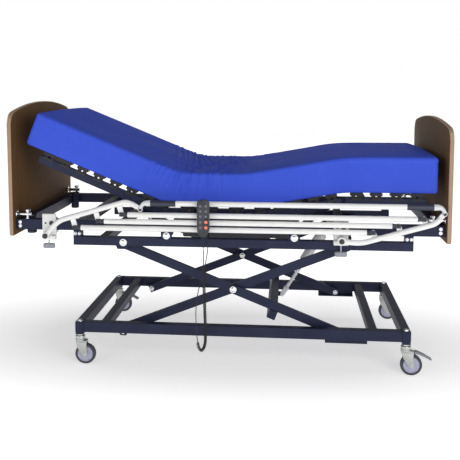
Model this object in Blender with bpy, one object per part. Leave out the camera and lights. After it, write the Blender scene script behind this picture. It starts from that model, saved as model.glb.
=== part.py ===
"""Adjustable care bed: scissor lift on casters, three-section sleeping surface, folding side rail.

+X runs from the head end to the foot end, +Z is up, the side with the rail and the handset is -Y.
The bed stands on z = 0. Every moving sub-part hangs under an empty that sits on its joint's axis.
"""
import math

import bmesh
import bpy
from mathutils import Matrix, Vector

GAP = 0.0003            # running gap left between neighbouring solids
SKIN = 0.0015           # chamfer on tubes and plates

# Frames
FRAME_Y = 0.457         # outer face of the side tubes
TUBE_W = 0.040          # width of every frame tube
INNER_Y = FRAME_Y - TUBE_W
BASE_X = (-0.720, 0.860)
BASE_Z = (0.160, 0.210)
SUB_Z = (0.585, 0.625)
MAIN_X = (-0.9994, 0.9994)
MAIN_Z = (0.655, 0.705)
BOARD_X = 1.000         # inner face of the head and foot boards
BOARD_T = 0.019
BOARD_HALF = 0.495
MID_Y = 0.0385          # the frames' middle plane: the rail and handset stand out on one side only

# Scissor lift
PIVOT_X = -0.492        # fixed pivots, at the head end
PIVOT_Z = (0.163, 0.581)
ARM_SPAN = 1.056        # horizontal distance between the end bolts, as stored
ARM_H = 0.042
ARM_T = 0.018
B_PLANE = 0.386         # middle of the outer arms
A_PLANE = 0.3665        # middle of the inner arms
CROSS_S = 0.215         # lift cross tube, from the centre bolt along the outer arms
TUBE_MOUTH = 0.230      # actuator tube: from its trunnion down to its mouth
TUBE_TAIL = 0.062       # and from its trunnion up to its closed end
STEM_TOP = 0.090        # the rod's hidden end, below the trunnion at rest

# Sleeping surface
DECK_Z = 0.772          # top of the slats when flat
HINGE_Z = 0.762
BACK_X = -0.235
THIGH_X = 0.110
BACK_TILT = math.radians(22.3)
THIGH_TILT = math.radians(10.0)
BACK_LEN = 0.755
THIGH_LEN = 0.440
LEG_LEN = 0.415
RAIL_Y = 0.420
MATTRESS_Y = 0.450
MATTRESS_T = 0.155

# Drive levers
BACK_LEVER = (-0.273, 0.638)
LEG_LEVER = (0.322, 0.638)
LEVER_Y = 0.320
ROLLER_R = 0.018

# Side rail
RAIL_PLANE = -0.520
ARM_HEAD_X = -0.833
ARM_FOOT_X = 0.533
ARM_Z = 0.640
ARM_TILT = math.radians(16.2)
PIN_R = (0.145, 0.260, 0.375)
TIP_R = 0.467
RAIL_R = 0.0125
TOP_RAIL_LIFT = 0.029
KNOB_Z = {"head": 0.572, "foot": 0.5595}    # the foot knob turns below the lift frame

# Casters
WHEEL_R = 0.050
WHEEL_W = 0.026
TRAIL = 0.025
POST_X = (-0.700, 0.840)
POST_Y = 0.437

# Handset
SET_X = -0.0885
SET_Z = (0.655, 0.828)
SET_Y = (-0.5705, -0.5455)


# ---------------------------------------------------------------- materials

def material(name, color, roughness, metallic=0.0):
    found = bpy.data.materials.get(name)
    if found:
        return found
    made = bpy.data.materials.new(name)
    made.use_nodes = True
    shader = made.node_tree.nodes["Principled BSDF"]
    shader.inputs["Base Color"].default_value = (*color, 1.0)
    shader.inputs["Roughness"].default_value = roughness
    shader.inputs["Metallic"].default_value = metallic
    return made


def navy():
    return material("navy_powder_coat", (0.035, 0.038, 0.085), 0.42)


def off_white():
    return material("off_white_coat", (0.75, 0.75, 0.72), 0.40)


def zinc():
    return material("zinc_plate", (0.42, 0.44, 0.42), 0.35, 0.9)


def black_plastic():
    return material("black_plastic", (0.020, 0.021, 0.028), 0.45)


def grey_plastic():
    return material("grey_plastic", (0.30, 0.31, 0.35), 0.45)


def laminate():
    return material("brown_laminate", (0.085, 0.040, 0.020), 0.45)


def tyre():
    return material("grey_rubber", (0.030, 0.033, 0.040), 0.65)


def cover():
    return material("blue_cover", (0.035, 0.075, 0.520), 0.60)


def red_plastic():
    return material("red_plastic", (0.65, 0.10, 0.07), 0.40)


# ---------------------------------------------------------------- solids

def solid(bm):
    """Turn a bmesh into a hidden working object that fuse() takes apart again."""
    bmesh.ops.recalc_face_normals(bm, faces=bm.faces)
    mesh = bpy.data.meshes.new("work")
    bm.to_mesh(mesh)
    bm.free()
    made = bpy.data.objects.new("work", mesh)
    bpy.context.scene.collection.objects.link(made)
    return made


def block(x, y, z, chamfer=0.0):
    """A box between the given limits along X, Y and Z."""
    bm = bmesh.new()
    size = (x[1] - x[0], y[1] - y[0], z[1] - z[0])
    middle = ((x[0] + x[1]) / 2, (y[0] + y[1]) / 2, (z[0] + z[1]) / 2)
    bmesh.ops.create_cube(bm, size=1.0, matrix=Matrix.Translation(middle) @ Matrix.Diagonal((*size, 1.0)))
    if chamfer:
        bmesh.ops.bevel(bm, geom=bm.edges[:], offset=chamfer, segments=1, affect="EDGES")
    return solid(bm)


def rod(start, end, radius, sides=16, radius_end=None):
    """A round bar from start to end."""
    start, end = Vector(start), Vector(end)
    run = end - start
    bm = bmesh.new()
    turn = run.to_track_quat("Z", "Y").to_matrix().to_4x4()
    bmesh.ops.create_cone(
        bm, cap_ends=True, segments=sides, radius1=radius,
        radius2=radius if radius_end is None else radius_end, depth=run.length,
        matrix=Matrix.Translation((start + end) / 2) @ turn)
    return solid(bm)


def plate(outline, y):
    """A flat plate: an outline in X and Z, between two values of y."""
    bm = bmesh.new()
    face = bm.faces.new([bm.verts.new((x, y[0], z)) for x, z in outline])
    moved = bmesh.ops.extrude_face_region(bm, geom=[face])["geom"]
    bmesh.ops.translate(bm, verts=[v for v in moved if isinstance(v, bmesh.types.BMVert)],
                        vec=(0.0, y[1] - y[0], 0.0))
    return solid(bm)


def panel(outline, x):
    """A flat panel: an outline in Y and Z, between two values of x."""
    bm = bmesh.new()
    face = bm.faces.new([bm.verts.new((x[0], y, z)) for y, z in outline])
    moved = bmesh.ops.extrude_face_region(bm, geom=[face])["geom"]
    bmesh.ops.translate(bm, verts=[v for v in moved if isinstance(v, bmesh.types.BMVert)],
                        vec=(x[1] - x[0], 0.0, 0.0))
    bmesh.ops.bevel(bm, geom=[e for e in bm.edges if e.calc_face_angle(0.0) > 1.2],
                    offset=0.002, segments=1, affect="EDGES")
    return solid(bm)


def bar(start, end, height, y, overrun=0.0):
    """A straight flat-sided arm in a plane of constant Y, square to its own line."""
    (x0, z0), (x1, z1) = start, end
    length = math.hypot(x1 - x0, z1 - z0)
    ux, uz = (x1 - x0) / length, (z1 - z0) / length
    half = height / 2
    outline = []
    for along, side in ((-overrun, -half), (length + overrun, -half),
                        (length + overrun, half), (-overrun, half)):
        outline.append((x0 + ux * along - uz * side, z0 + uz * along + ux * side))
    return plate(outline, y)


def sweep(points, radius, sides=12):
    """A round tube through points that share one Y, mitred at each of them."""
    bm = bmesh.new()
    rings = []
    for i, point in enumerate(points):
        before = points[max(i - 1, 0)]
        after = points[min(i + 1, len(points) - 1)]
        along = (Vector(after) - Vector(before)).normalized()
        side = Vector((0.0, 1.0, 0.0))
        up = along.cross(side)
        ring = []
        for k in range(sides):
            turn = 2 * math.pi * k / sides
            ring.append(bm.verts.new(Vector(point) + radius * (math.cos(turn) * side + math.sin(turn) * up)))
        rings.append(ring)
    for a, b in zip(rings, rings[1:]):
        for k in range(sides):
            bm.faces.new((a[k], a[(k + 1) % sides], b[(k + 1) % sides], b[k]))
    bm.faces.new(rings[0])
    bm.faces.new(rings[-1])
    return solid(bm)


def turned(centre, profile, sides=24):
    """A solid turned about an axis along Y: (radius, offset) pairs, closed on the axis."""
    bm = bmesh.new()
    rings = []
    for radius, offset in profile:
        ring = []
        for k in range(sides):
            turn = 2 * math.pi * k / sides
            ring.append(bm.verts.new((centre[0] + radius * math.cos(turn), centre[1] + offset,
                                      centre[2] + radius * math.sin(turn))))
        rings.append(ring)
    for a, b in zip(rings, rings[1:]):
        for k in range(sides):
            bm.faces.new((a[k], a[(k + 1) % sides], b[(k + 1) % sides], b[k]))
    bm.faces.new(rings[0])
    bm.faces.new(rings[-1])
    return solid(bm)


def boolean(base, other, operation):
    cut = base.modifiers.new("cut", "BOOLEAN")
    cut.operation = operation
    cut.solver = "EXACT"
    cut.object = other
    graph = bpy.context.evaluated_depsgraph_get()
    mesh = bpy.data.meshes.new_from_object(base.evaluated_get(graph))
    base.modifiers.remove(cut)
    base.data = mesh
    bpy.data.objects.remove(other)


def fuse(name, look, body, pieces, cuts=()):
    """Join pieces into one closed node, take the cuts out of it and hang it under its body's empty."""
    base = pieces[0]
    for piece in pieces[1:]:
        boolean(base, piece, "UNION")
    for piece in cuts:
        boolean(base, piece, "DIFFERENCE")
    base.name = name
    base.data.name = name
    base.data.materials.clear()
    base.data.materials.append(look)
    for face in base.data.polygons:
        face.material_index = 0
    base.data.shade_smooth()
    base.data.set_sharp_from_angle(angle=math.radians(35.0))
    base.data.transform(Matrix.Translation(-body.matrix_world.translation))
    base.parent = body
    return base


def axis_empty(name, at, parent=None):
    """An empty on a joint's axis."""
    made = bpy.data.objects.new(name, None)
    made.empty_display_size = 0.05
    bpy.context.scene.collection.objects.link(made)
    made.location = Vector(at) - (parent.matrix_world.translation if parent else Vector())
    made.parent = parent
    bpy.context.view_layer.update()
    return made


def turn_about(point, centre, angle):
    """Turn an (x, z) point about a centre; a positive angle lifts what lies towards +X."""
    x, z = point[0] - centre[0], point[1] - centre[1]
    c, s = math.cos(angle), math.sin(angle)
    return (centre[0] + c * x - s * z, centre[1] + s * x + c * z)


def mirror_sides():
    return (("near", -1), ("far", 1))


def band(sign, inner, outer):
    """The Y limits of something that lies between inner and outer on one side of the bed."""
    return tuple(sorted((sign * inner, sign * outer)))


# ---------------------------------------------------------------- base and casters

def build_base(body):
    z = BASE_Z
    for side, sign in mirror_sides():
        y = band(sign, INNER_Y, FRAME_Y)
        tube = block((BASE_X[0] + TUBE_W + GAP, BASE_X[1] - TUBE_W - GAP), y, z, SKIN)
        lug = plate([(-0.530, 0.175), (-0.505, 0.139), (-0.479, 0.139), (-0.460, 0.175)],
                    band(sign, 0.409, 0.424))
        track = block((0.470, 0.665), band(sign, 0.396, 0.424), (0.135, 0.142))
        web = block((0.470, 0.665), band(sign, 0.418, 0.424), (0.135, 0.175))
        hole = rod((PIVOT_X, sign * 0.40, PIVOT_Z[0]), (PIVOT_X, sign * 0.43, PIVOT_Z[0]), 0.0084)
        fuse(f"base_side_{side}", navy(), body, [tube, lug, track, web], [hole])
    for end, x0 in (("head", BASE_X[0]), ("foot", BASE_X[1] - TUBE_W)):
        pieces = [block((x0, x0 + TUBE_W), (-FRAME_Y, FRAME_Y), z, SKIN)]
        for _, sign in mirror_sides():
            pieces.append(block((x0 + 0.001, x0 + TUBE_W - 0.001), band(sign, INNER_Y, FRAME_Y - 0.001),
                                (0.148, 0.170)))
        fuse(f"base_end_{end}", navy(), body, pieces)
    for end, x0 in (("head", -0.600), ("foot", 0.670)):
        fuse(f"base_cross_{end}", navy(), body,
             [block((x0, x0 + TUBE_W), (-INNER_Y + GAP, INNER_Y - GAP), (0.168, 0.208), SKIN)])


def build_caster(name, x, y, pedal, base):
    """A twin-leg fork, its wheel and, where braked, the toe pedal behind the wheel."""
    axle_x, axle_z = x + TRAIL, WHEEL_R
    swivel = axis_empty(f"axis_swivel_{name}", (x, y, 0.148), base)
    leg_out, leg_in = WHEEL_W / 2 + 0.006, WHEEL_W / 2 + 0.002
    pieces = [rod((x, y, 0.112), (x, y, 0.148 - GAP), 0.024, 20)]
    pieces.append(block((x - 0.020, x + 0.034), (y - leg_out, y + leg_out), (0.106, 0.118), SKIN))
    for sign in (-1, 1):
        outline = [(x - 0.020, 0.112), (x - 0.014, 0.082), (axle_x - 0.013, 0.038),
                   (axle_x + 0.013, 0.038), (x + 0.034, 0.082), (x + 0.034, 0.112)]
        pieces.append(plate(outline, tuple(sorted((y + sign * leg_in, y + sign * leg_out)))))
        pieces.append(rod((axle_x, y + sign * leg_in, axle_z), (axle_x, y + sign * (leg_out + 0.003), axle_z),
                          0.007, 12))
    fuse(f"caster_fork_{name}", zinc(), swivel, pieces)
    spin = axis_empty(f"axis_wheel_{name}", (axle_x, y, axle_z), swivel)
    half = WHEEL_W / 2
    profile = [(0.010, -half - 0.0016), (0.014, -half - 0.0016), (0.016, -half + 0.003), (0.036, -half + 0.003),
               (0.039, -half), (0.045, -half), (WHEEL_R, -half + 0.006), (WHEEL_R, half - 0.006),
               (0.045, half), (0.039, half), (0.036, half - 0.003), (0.016, half - 0.003),
               (0.014, half + 0.0016), (0.010, half + 0.0016)]
    fuse(f"caster_wheel_{name}", tyre(), spin, [turned((axle_x, y, axle_z), profile, 28)])
    if not pedal:
        return
    hinge_x, hinge_z = x + 0.046, 0.110
    press = axis_empty(f"axis_pedal_{name}", (hinge_x, y, hinge_z), swivel)
    outline = [(x + 0.0365, 0.1040), (x + 0.056, 0.1015), (x + 0.114, 0.0740),
               (x + 0.118, 0.0820), (x + 0.056, 0.1130), (x + 0.0365, 0.1170)]
    fuse(f"brake_pedal_{name}", grey_plastic(), press, [plate(outline, (y - 0.017, y + 0.017))])


def build_casters(base):
    for end, x in zip(("head", "foot"), POST_X):
        for side, sign in mirror_sides():
            braked = (end, side) in (("head", "far"), ("foot", "near"))
            build_caster(f"{end}_{side}", x, sign * POST_Y, braked, base)


# ---------------------------------------------------------------- scissor lift

def scissor_centre():
    return (PIVOT_X + ARM_SPAN / 2, sum(PIVOT_Z) / 2)


def build_scissor(base):
    """Inner arms rise towards the foot, outer arms fall towards it; both roll at the foot end."""
    foot_x = PIVOT_X + ARM_SPAN
    low, high = PIVOT_Z
    centre = scissor_centre()
    inner = axis_empty("axis_scissor_inner", (PIVOT_X, 0.0, low), base)
    outer = axis_empty("axis_scissor_outer", (centre[0], 0.0, centre[1]), inner)
    for side, sign in mirror_sides():
        y = band(sign, A_PLANE - ARM_T / 2, A_PLANE + ARM_T / 2)
        arm = bar((PIVOT_X, low), (foot_x, high), ARM_H, y, 0.012)
        stub = rod((PIVOT_X, sign * A_PLANE, low), (PIVOT_X, sign * 0.428, low), 0.008)
        wheel = rod((foot_x, sign * A_PLANE, high), (foot_x, sign * 0.412, high), 0.013)
        centre_hole = rod((centre[0], sign * 0.33, centre[1]), (centre[0], sign * 0.40, centre[1]), 0.0084)
        fuse(f"scissor_inner_{side}", navy(), inner, [arm, stub, wheel], [centre_hole])
        y = band(sign, B_PLANE - ARM_T / 2, B_PLANE + ARM_T / 2)
        arm = bar((PIVOT_X, high), (foot_x, low), ARM_H, y, 0.012)
        pin = rod((centre[0], sign * 0.350, centre[1]), (centre[0], sign * 0.400, centre[1]), 0.008)
        caps = [rod((centre[0], sign * 0.395, centre[1]), (centre[0], sign * 0.401, centre[1]), 0.013),
                rod((centre[0], sign * 0.345, centre[1]), (centre[0], sign * 0.357, centre[1]), 0.013)]
        stub = rod((PIVOT_X, sign * B_PLANE, high), (PIVOT_X, sign * 0.428, high), 0.008)
        wheel = rod((foot_x, sign * B_PLANE, low), (foot_x, sign * 0.412, low), 0.013)
        fuse(f"scissor_outer_{side}", navy(), outer, [arm, pin, *caps, stub, wheel])
    build_lift_cross(outer)
    return outer


def lift_cross_point():
    """Middle of the cross tube that hangs under the outer arms."""
    centre = scissor_centre()
    rise = PIVOT_Z[1] - PIVOT_Z[0]
    length = math.hypot(ARM_SPAN, rise)
    c, s = ARM_SPAN / length, rise / length
    drop = ARM_H / 2 + TUBE_W / 2 + GAP
    return (centre[0] + c * CROSS_S - s * drop, centre[1] - s * CROSS_S - c * drop)


def lift_pins():
    """Lower and upper ends of the lift actuator."""
    x, z = lift_cross_point()
    return (x + 0.045, z - 0.006), (0.488, 0.601)


def build_lift_cross(body):
    x, z = lift_cross_point()
    (px, pz), _ = lift_pins()
    half = TUBE_W / 2
    tilt = -math.atan2(PIVOT_Z[1] - PIVOT_Z[0], ARM_SPAN)
    corners = [turn_about((x + sx * half, z + sz * half), (x, z), tilt)
               for sx, sz in ((-1, -1), (1, -1), (1, 1), (-1, 1))]
    tube = plate(corners, (-0.402, 0.402))
    lug = plate([(x, z - 0.015), (px + 0.008, pz - 0.010), (px + 0.010, pz + 0.006), (x, z + 0.018)],
                (-0.004, 0.004))
    fuse("scissor_cross", navy(), body, [tube, lug])


def build_actuator(upper):
    (x0, z0), (x1, z1) = lift_pins()
    length = math.hypot(x1 - x0, z1 - z0)
    ux, uz = (x1 - x0) / length, (z1 - z0) / length

    def at(along, y=0.0):
        return (x0 + ux * along, y, z0 + uz * along)

    swing = axis_empty("axis_lift_tube", (x1, 0.0, z1), upper)
    slide = axis_empty("axis_lift_rod", (x0, 0.0, z0), swing)
    body = rod(at(length - TUBE_MOUTH), at(length + TUBE_TAIL), 0.019, 20)
    motor = rod(at(length - 0.215, 0.046), at(length - 0.060, 0.046), 0.024, 20)
    gear = rod(at(length - 0.085), at(length - 0.034), 0.028, 12)
    link = rod(at(length - 0.050, 0.0), at(length - 0.050, 0.050), 0.020, 12)
    boss = rod((x1, -0.024, z1), (x1, 0.024, z1), 0.0135)
    bore = rod(at(length - TUBE_MOUTH - 0.005), at(length + TUBE_TAIL - 0.008), 0.0095, 16)
    pin_holes = [rod((x1, sign * 0.0150, z1), (x1, sign * 0.030, z1), 0.0084) for sign in (-1, 1)]
    fuse("lift_tube", grey_plastic(), swing, [body, motor, gear, link, boss], [bore, *pin_holes])
    stem = rod(at(0.040), at(length - STEM_TOP), 0.009, 16)
    yoke = rod(at(0.030), at(0.045), 0.014, 12)
    cheeks = []
    for sign in (-1, 1):
        y = tuple(sorted((sign * 0.006, sign * 0.011)))
        cheeks.append(bar((x0, z0), at(0.038)[::2], 0.022, y, 0.008))
        cheeks.append(rod((x0, sign * 0.010, z0), (x0, sign * 0.016, z0), 0.009, 12))
    fuse("lift_rod", zinc(), slide, [stem, yoke, *cheeks])


# ---------------------------------------------------------------- upper frame

def build_main_frame(upper):
    x, z = MAIN_X, MAIN_Z
    for side, sign in mirror_sides():
        y = band(sign, INNER_Y, FRAME_Y)
        pieces = [block(x, y, z, SKIN)]
        for lx, lz in (BACK_LEVER, LEG_LEVER):
            outline = [(lx - 0.030, 0.660), (lx - 0.024, lz - 0.002), (lx - 0.010, lz - 0.0122),
                       (lx + 0.010, lz - 0.0122), (lx + 0.024, lz - 0.002), (lx + 0.030, 0.660)]
            pieces.append(plate(outline, band(sign, INNER_Y - 0.006, INNER_Y + 0.012)))
        if side == "near":
            pieces += handset_bracket()
        else:
            pieces.append(block((x[1] - TUBE_W - 0.001, x[1] - 0.001), (-INNER_Y + GAP, INNER_Y + 0.010),
                                (z[0] + 0.002, z[1] - 0.002)))
        holes = [rod((lx, sign * 0.395, lz), (lx, sign * 0.440, lz), 0.0104)
                 for lx, lz in (BACK_LEVER, LEG_LEVER)]
        fuse(f"main_side_{side}", navy(), upper, pieces, holes)
    head = [block((x[0] + 0.001, x[0] + 0.001 + TUBE_W), (-INNER_Y + GAP, INNER_Y - GAP),
                  (z[0] + 0.002, z[1] - 0.002), SKIN)]
    for _, sign in mirror_sides():
        head.append(rod((x[0] + 0.055, sign * 0.385, 0.640), (x[0] + 0.055, sign * 0.385, 0.712), 0.022, 20))
    bores = [rod((x[0] + 0.055, sign * 0.385, 0.650), (x[0] + 0.055, sign * 0.385, 0.720), 0.017, 20)
             for _, sign in mirror_sides()]
    fuse("main_head", navy(), upper, head, bores)
    fuse("main_cross", navy(), upper,
         [block((-0.720, -0.680), (-INNER_Y + GAP, INNER_Y - GAP), (0.657, 0.697), SKIN)])


def handset_bracket():
    """A strip that leaves the side tube, passes under the lowest rail and rises in front of it."""
    x = (SET_X - 0.016, SET_X + 0.016)
    return [block(x, (-0.450, -0.446), (0.643, 0.660)),
            block(x, (-0.5435, -0.446), (0.643, 0.647)),
            block(x, (-0.5435, -0.5395), (0.643, 0.815))]


def build_sub_frame(upper):
    for side, sign in mirror_sides():
        y = band(sign, INNER_Y, FRAME_Y)
        pieces = [block(BASE_X, y, SUB_Z, SKIN)]
        for x0 in (BASE_X[0], BASE_X[1] - TUBE_W):
            pieces.append(block((x0 + 0.001, x0 + TUBE_W - 0.001), band(sign, INNER_Y + 0.001, FRAME_Y - 0.001),
                                (SUB_Z[1] - 0.010, MAIN_Z[0] - GAP)))
        pieces.append(plate([(-0.530, 0.592), (-0.515, 0.562), (-0.469, 0.562), (-0.455, 0.592)],
                            band(sign, 0.409, 0.424)))
        pieces.append(block((0.470, 0.665), band(sign, 0.379, 0.424), (0.5955, 0.6025)))
        hole = rod((PIVOT_X, sign * 0.40, PIVOT_Z[1]), (PIVOT_X, sign * 0.43, PIVOT_Z[1]), 0.0084)
        fuse(f"sub_side_{side}", navy(), upper, pieces, [hole])
    fuse("sub_cross_head", navy(), upper,
         [block((-0.600, -0.560), (-INNER_Y + GAP, INNER_Y - GAP), SUB_Z, SKIN)])
    _, (px, pz) = lift_pins()
    pieces = [block((0.545, 0.585), (-INNER_Y + GAP, INNER_Y - GAP), (0.6065, 0.640), SKIN)]
    for sign in (-1, 1):
        pieces.append(plate([(0.556, 0.609), (px - 0.010, pz - 0.014), (px - 0.014, pz + 0.010), (0.556, 0.636)],
                            tuple(sorted((sign * 0.0245, sign * 0.0295)))))
        pieces.append(rod((px, sign * 0.0156, pz), (px, sign * 0.0310, pz), 0.008))
    fuse("sub_cross_foot", navy(), upper, pieces)


def board_outline(corner, crown):
    """Straight sides, a shallow arched top with rounded shoulders."""
    half, low, shoulder = BOARD_HALF, 0.628, 0.055
    points = [(-half, low), (half, low)]
    steps = 24
    for i in range(steps + 1):
        y = half - 2 * half * i / steps
        edge = max(0.0, (abs(y) - (half - shoulder)) / shoulder)
        arch = corner + (crown - corner) * (1.0 - (y / half) ** 2)
        points.append((y, arch - 0.045 * (1.0 - math.sqrt(max(0.0, 1.0 - edge * edge)))))
    return points


def build_boards(upper):
    fuse("headboard", laminate(), upper,
         [panel(board_outline(1.205, 1.255), (-BOARD_X - BOARD_T, -BOARD_X))])
    fuse("footboard", laminate(), upper,
         [panel(board_outline(1.140, 1.183), (BOARD_X, BOARD_X + BOARD_T))])


def build_drive(upper):
    """The twin drive grips the two lever shafts at its ends and hangs below them."""
    x0, x1 = BACK_LEVER[0], LEG_LEVER[0]
    z = BACK_LEVER[1]
    body = block((x0 - 0.030, x1 + 0.030), (-0.052, 0.052), (z - 0.086, z + 0.026), 0.006)
    bulge = block((x0 + 0.120, x1 - 0.120), (-0.075, 0.075), (z - 0.104, z + 0.030), 0.008)
    grips = [rod((x, -0.06, z), (x, 0.06, z), 0.0180, 24) for x in (x0, x1)]
    fuse("twin_drive", black_plastic(), upper, [body, bulge], grips)


def build_lever(name, pivot, reach, angle, side, upper):
    """A shaft across the bed with two arms; each ends in a roller under the section it lifts."""
    body = axis_empty(f"axis_{name}", (pivot[0], 0.0, pivot[1]), upper)
    tip = (pivot[0] + side * reach * math.cos(angle), pivot[1] + reach * math.sin(angle))
    pieces = [rod((pivot[0], -0.405, pivot[1]), (pivot[0], 0.405, pivot[1]), 0.0175, 20)]
    for sign in (-1, 1):
        y = band(sign, LEVER_Y - 0.008, LEVER_Y)
        pieces.append(bar(pivot, tip, 0.032, y, 0.0))
        pieces.append(rod((tip[0], sign * (LEVER_Y - 0.010), tip[1]), (tip[0], sign * (LEVER_Y + 0.014), tip[1]),
                          ROLLER_R, 20))
        pieces.append(rod((pivot[0], sign * 0.400, pivot[1]), (pivot[0], sign * 0.432, pivot[1]), 0.0100, 16))
    fuse(name, navy(), body, pieces)


# ---------------------------------------------------------------- sleeping surface

BACK_REACH, BACK_REST, BACK_RATIO = 0.240, math.radians(38.8), 0.88
LEG_REACH, LEG_REST, LEG_RATIO = 0.200, math.radians(40.0), 2.0


def cam_strip(hinge, pivot, reach, rest, ratio, side, swings):
    """The curved strip that a lever's roller follows: its path, seen from the section, set off outwards."""
    path = []
    steps = 16
    for i in range(steps + 1):
        swing = swings[0] + (swings[1] - swings[0]) * i / steps
        angle = rest + ratio * swing
        centre = (pivot[0] + side * reach * math.cos(angle), pivot[1] + reach * math.sin(angle))
        path.append(turn_about(centre, hinge, -side * swing))
    path.sort(key=lambda p: side * p[0])
    upper_edge, lower_edge = [], []
    for i, (x, z) in enumerate(path):
        a, b = path[max(i - 1, 0)], path[min(i + 1, steps)]
        run = math.hypot(b[0] - a[0], b[1] - a[1])
        nx, nz = -side * (b[1] - a[1]) / run, side * (b[0] - a[0]) / run
        lower_edge.append((x + nx * (ROLLER_R + 0.001), z + nz * (ROLLER_R + 0.001)))
        upper_edge.append((x + nx * (ROLLER_R + 0.007), z + nz * (ROLLER_R + 0.007)))
    return lower_edge, upper_edge


def deck_section(name, body, hinge, start, length, side, tilt, slats, cams=None, depth=0.040):
    """Two side rails, two cross bars and a row of slats on their holders, turned to the section's tilt."""
    low = DECK_Z - 0.025

    def x_band(a, b):
        return tuple(sorted((hinge[0] + side * a, hinge[0] + side * b)))

    pieces = []
    for sign in (-1, 1):
        y = band(sign, RAIL_Y - 0.010, RAIL_Y + 0.010)
        pieces.append(block(x_band(start, length), y, (low - depth, low), SKIN))
    for at in (start + 0.060, length - 0.045):
        pieces.append(block(x_band(at, at + 0.025), (-RAIL_Y, RAIL_Y), (low - 0.015, low + 0.010)))
    pitch = (length - start) / slats
    for i in range(slats):
        middle = start + pitch * (i + 0.5)
        span = x_band(middle - 0.026, middle + 0.026)
        pieces.append(block(span, (-0.428, 0.428), (DECK_Z - 0.010, DECK_Z - 0.001)))
        for sign in (-1, 1):
            pieces.append(block(x_band(middle - 0.022, middle + 0.022), band(sign, RAIL_Y - 0.008, RAIL_Y + 0.009),
                                (low - 0.003, DECK_Z - 0.008)))
    made = []
    for piece in pieces:
        turn_piece(piece, hinge, side * tilt)
        made.append(piece)
    if cams:
        made += cams
    fuse(name, navy(), body, made)


def turn_piece(piece, hinge, angle):
    centre = Vector((hinge[0], 0.0, hinge[1]))
    turn = Matrix.Rotation(-angle, 4, "Y")
    piece.data.transform(Matrix.Translation(centre) @ turn @ Matrix.Translation(-centre))


def cam_pieces(edges, hinge, side, tilt):
    """Both cams of a section, with a post at each end up to the slats."""
    lower_edge, upper_edge = edges
    made = []
    for sign in (-1, 1):
        y = band(sign, LEVER_Y + 0.001, LEVER_Y + 0.013)
        made.append(plate(lower_edge + upper_edge[::-1], y))
        for spot in (upper_edge[1], upper_edge[-2]):
            flat = turn_about(spot, hinge, -side * tilt)
            post = block((flat[0] - 0.006, flat[0] + 0.006), y, (flat[1] - 0.0015, DECK_Z - 0.006))
            turn_piece(post, hinge, side * tilt)
            made.append(post)
    return made


def build_deck(upper):
    back_hinge, thigh_hinge = (BACK_X, HINGE_Z), (THIGH_X, HINGE_Z)
    knee = turn_about((THIGH_X + THIGH_LEN, HINGE_Z), thigh_hinge, THIGH_TILT)
    back = axis_empty("axis_back", (BACK_X, 0.0, HINGE_Z), upper)
    thigh = axis_empty("axis_thigh", (THIGH_X, 0.0, HINGE_Z), upper)
    leg = axis_empty("axis_leg", (knee[0], 0.0, knee[1]), thigh)
    seat_x = THIGH_X - BACK_X
    deck_section("deck_seat", upper, back_hinge, 0.012, seat_x - 0.012, 1, 0.0, 3, depth=0.0418)
    swings = (-BACK_TILT, math.radians(60.0) - BACK_TILT)
    edges = cam_strip(back_hinge, BACK_LEVER, BACK_REACH, BACK_REST, BACK_RATIO, -1, swings)
    deck_section("deck_back", back, back_hinge, 0.012, 0.690, -1, BACK_TILT, 8,
                 cam_pieces(edges, back_hinge, -1, BACK_TILT))
    swings = (-THIGH_TILT, math.radians(28.0) - THIGH_TILT)
    edges = cam_strip(thigh_hinge, LEG_LEVER, LEG_REACH, LEG_REST, LEG_RATIO, 1, swings)
    deck_section("deck_thigh", thigh, thigh_hinge, 0.012, THIGH_LEN - 0.014, 1, THIGH_TILT, 5,
                 cam_pieces(edges, thigh_hinge, 1, THIGH_TILT))
    build_leg_deck(leg, knee)
    build_mattress(upper, back, thigh, leg, knee)


def build_leg_deck(leg, knee):
    """The leg section stays level, so it is built flat and lifted to the knee."""
    lift = knee[1] - HINGE_Z
    pieces_before = set(bpy.data.objects)
    deck_section("deck_leg", leg, (knee[0], HINGE_Z), 0.014, 0.375, 1, 0.0, 4)
    made = next(o for o in bpy.data.objects if o not in pieces_before)
    made.data.transform(Matrix.Translation((0.0, 0.0, lift)))


def foam(name, body, outline):
    """One block of the mattress, with its long edges eased."""
    bm = bmesh.new()
    y = (-MATTRESS_Y, MATTRESS_Y)
    face = bm.faces.new([bm.verts.new((x, y[0], z)) for x, z in outline])
    moved = bmesh.ops.extrude_face_region(bm, geom=[face])["geom"]
    bmesh.ops.translate(bm, verts=[v for v in moved if isinstance(v, bmesh.types.BMVert)],
                        vec=(0.0, y[1] - y[0], 0.0))
    bmesh.ops.bevel(bm, geom=bm.edges[:], offset=0.010, segments=1, affect="EDGES")
    fuse(name, cover(), body, [solid(bm)])


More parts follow.
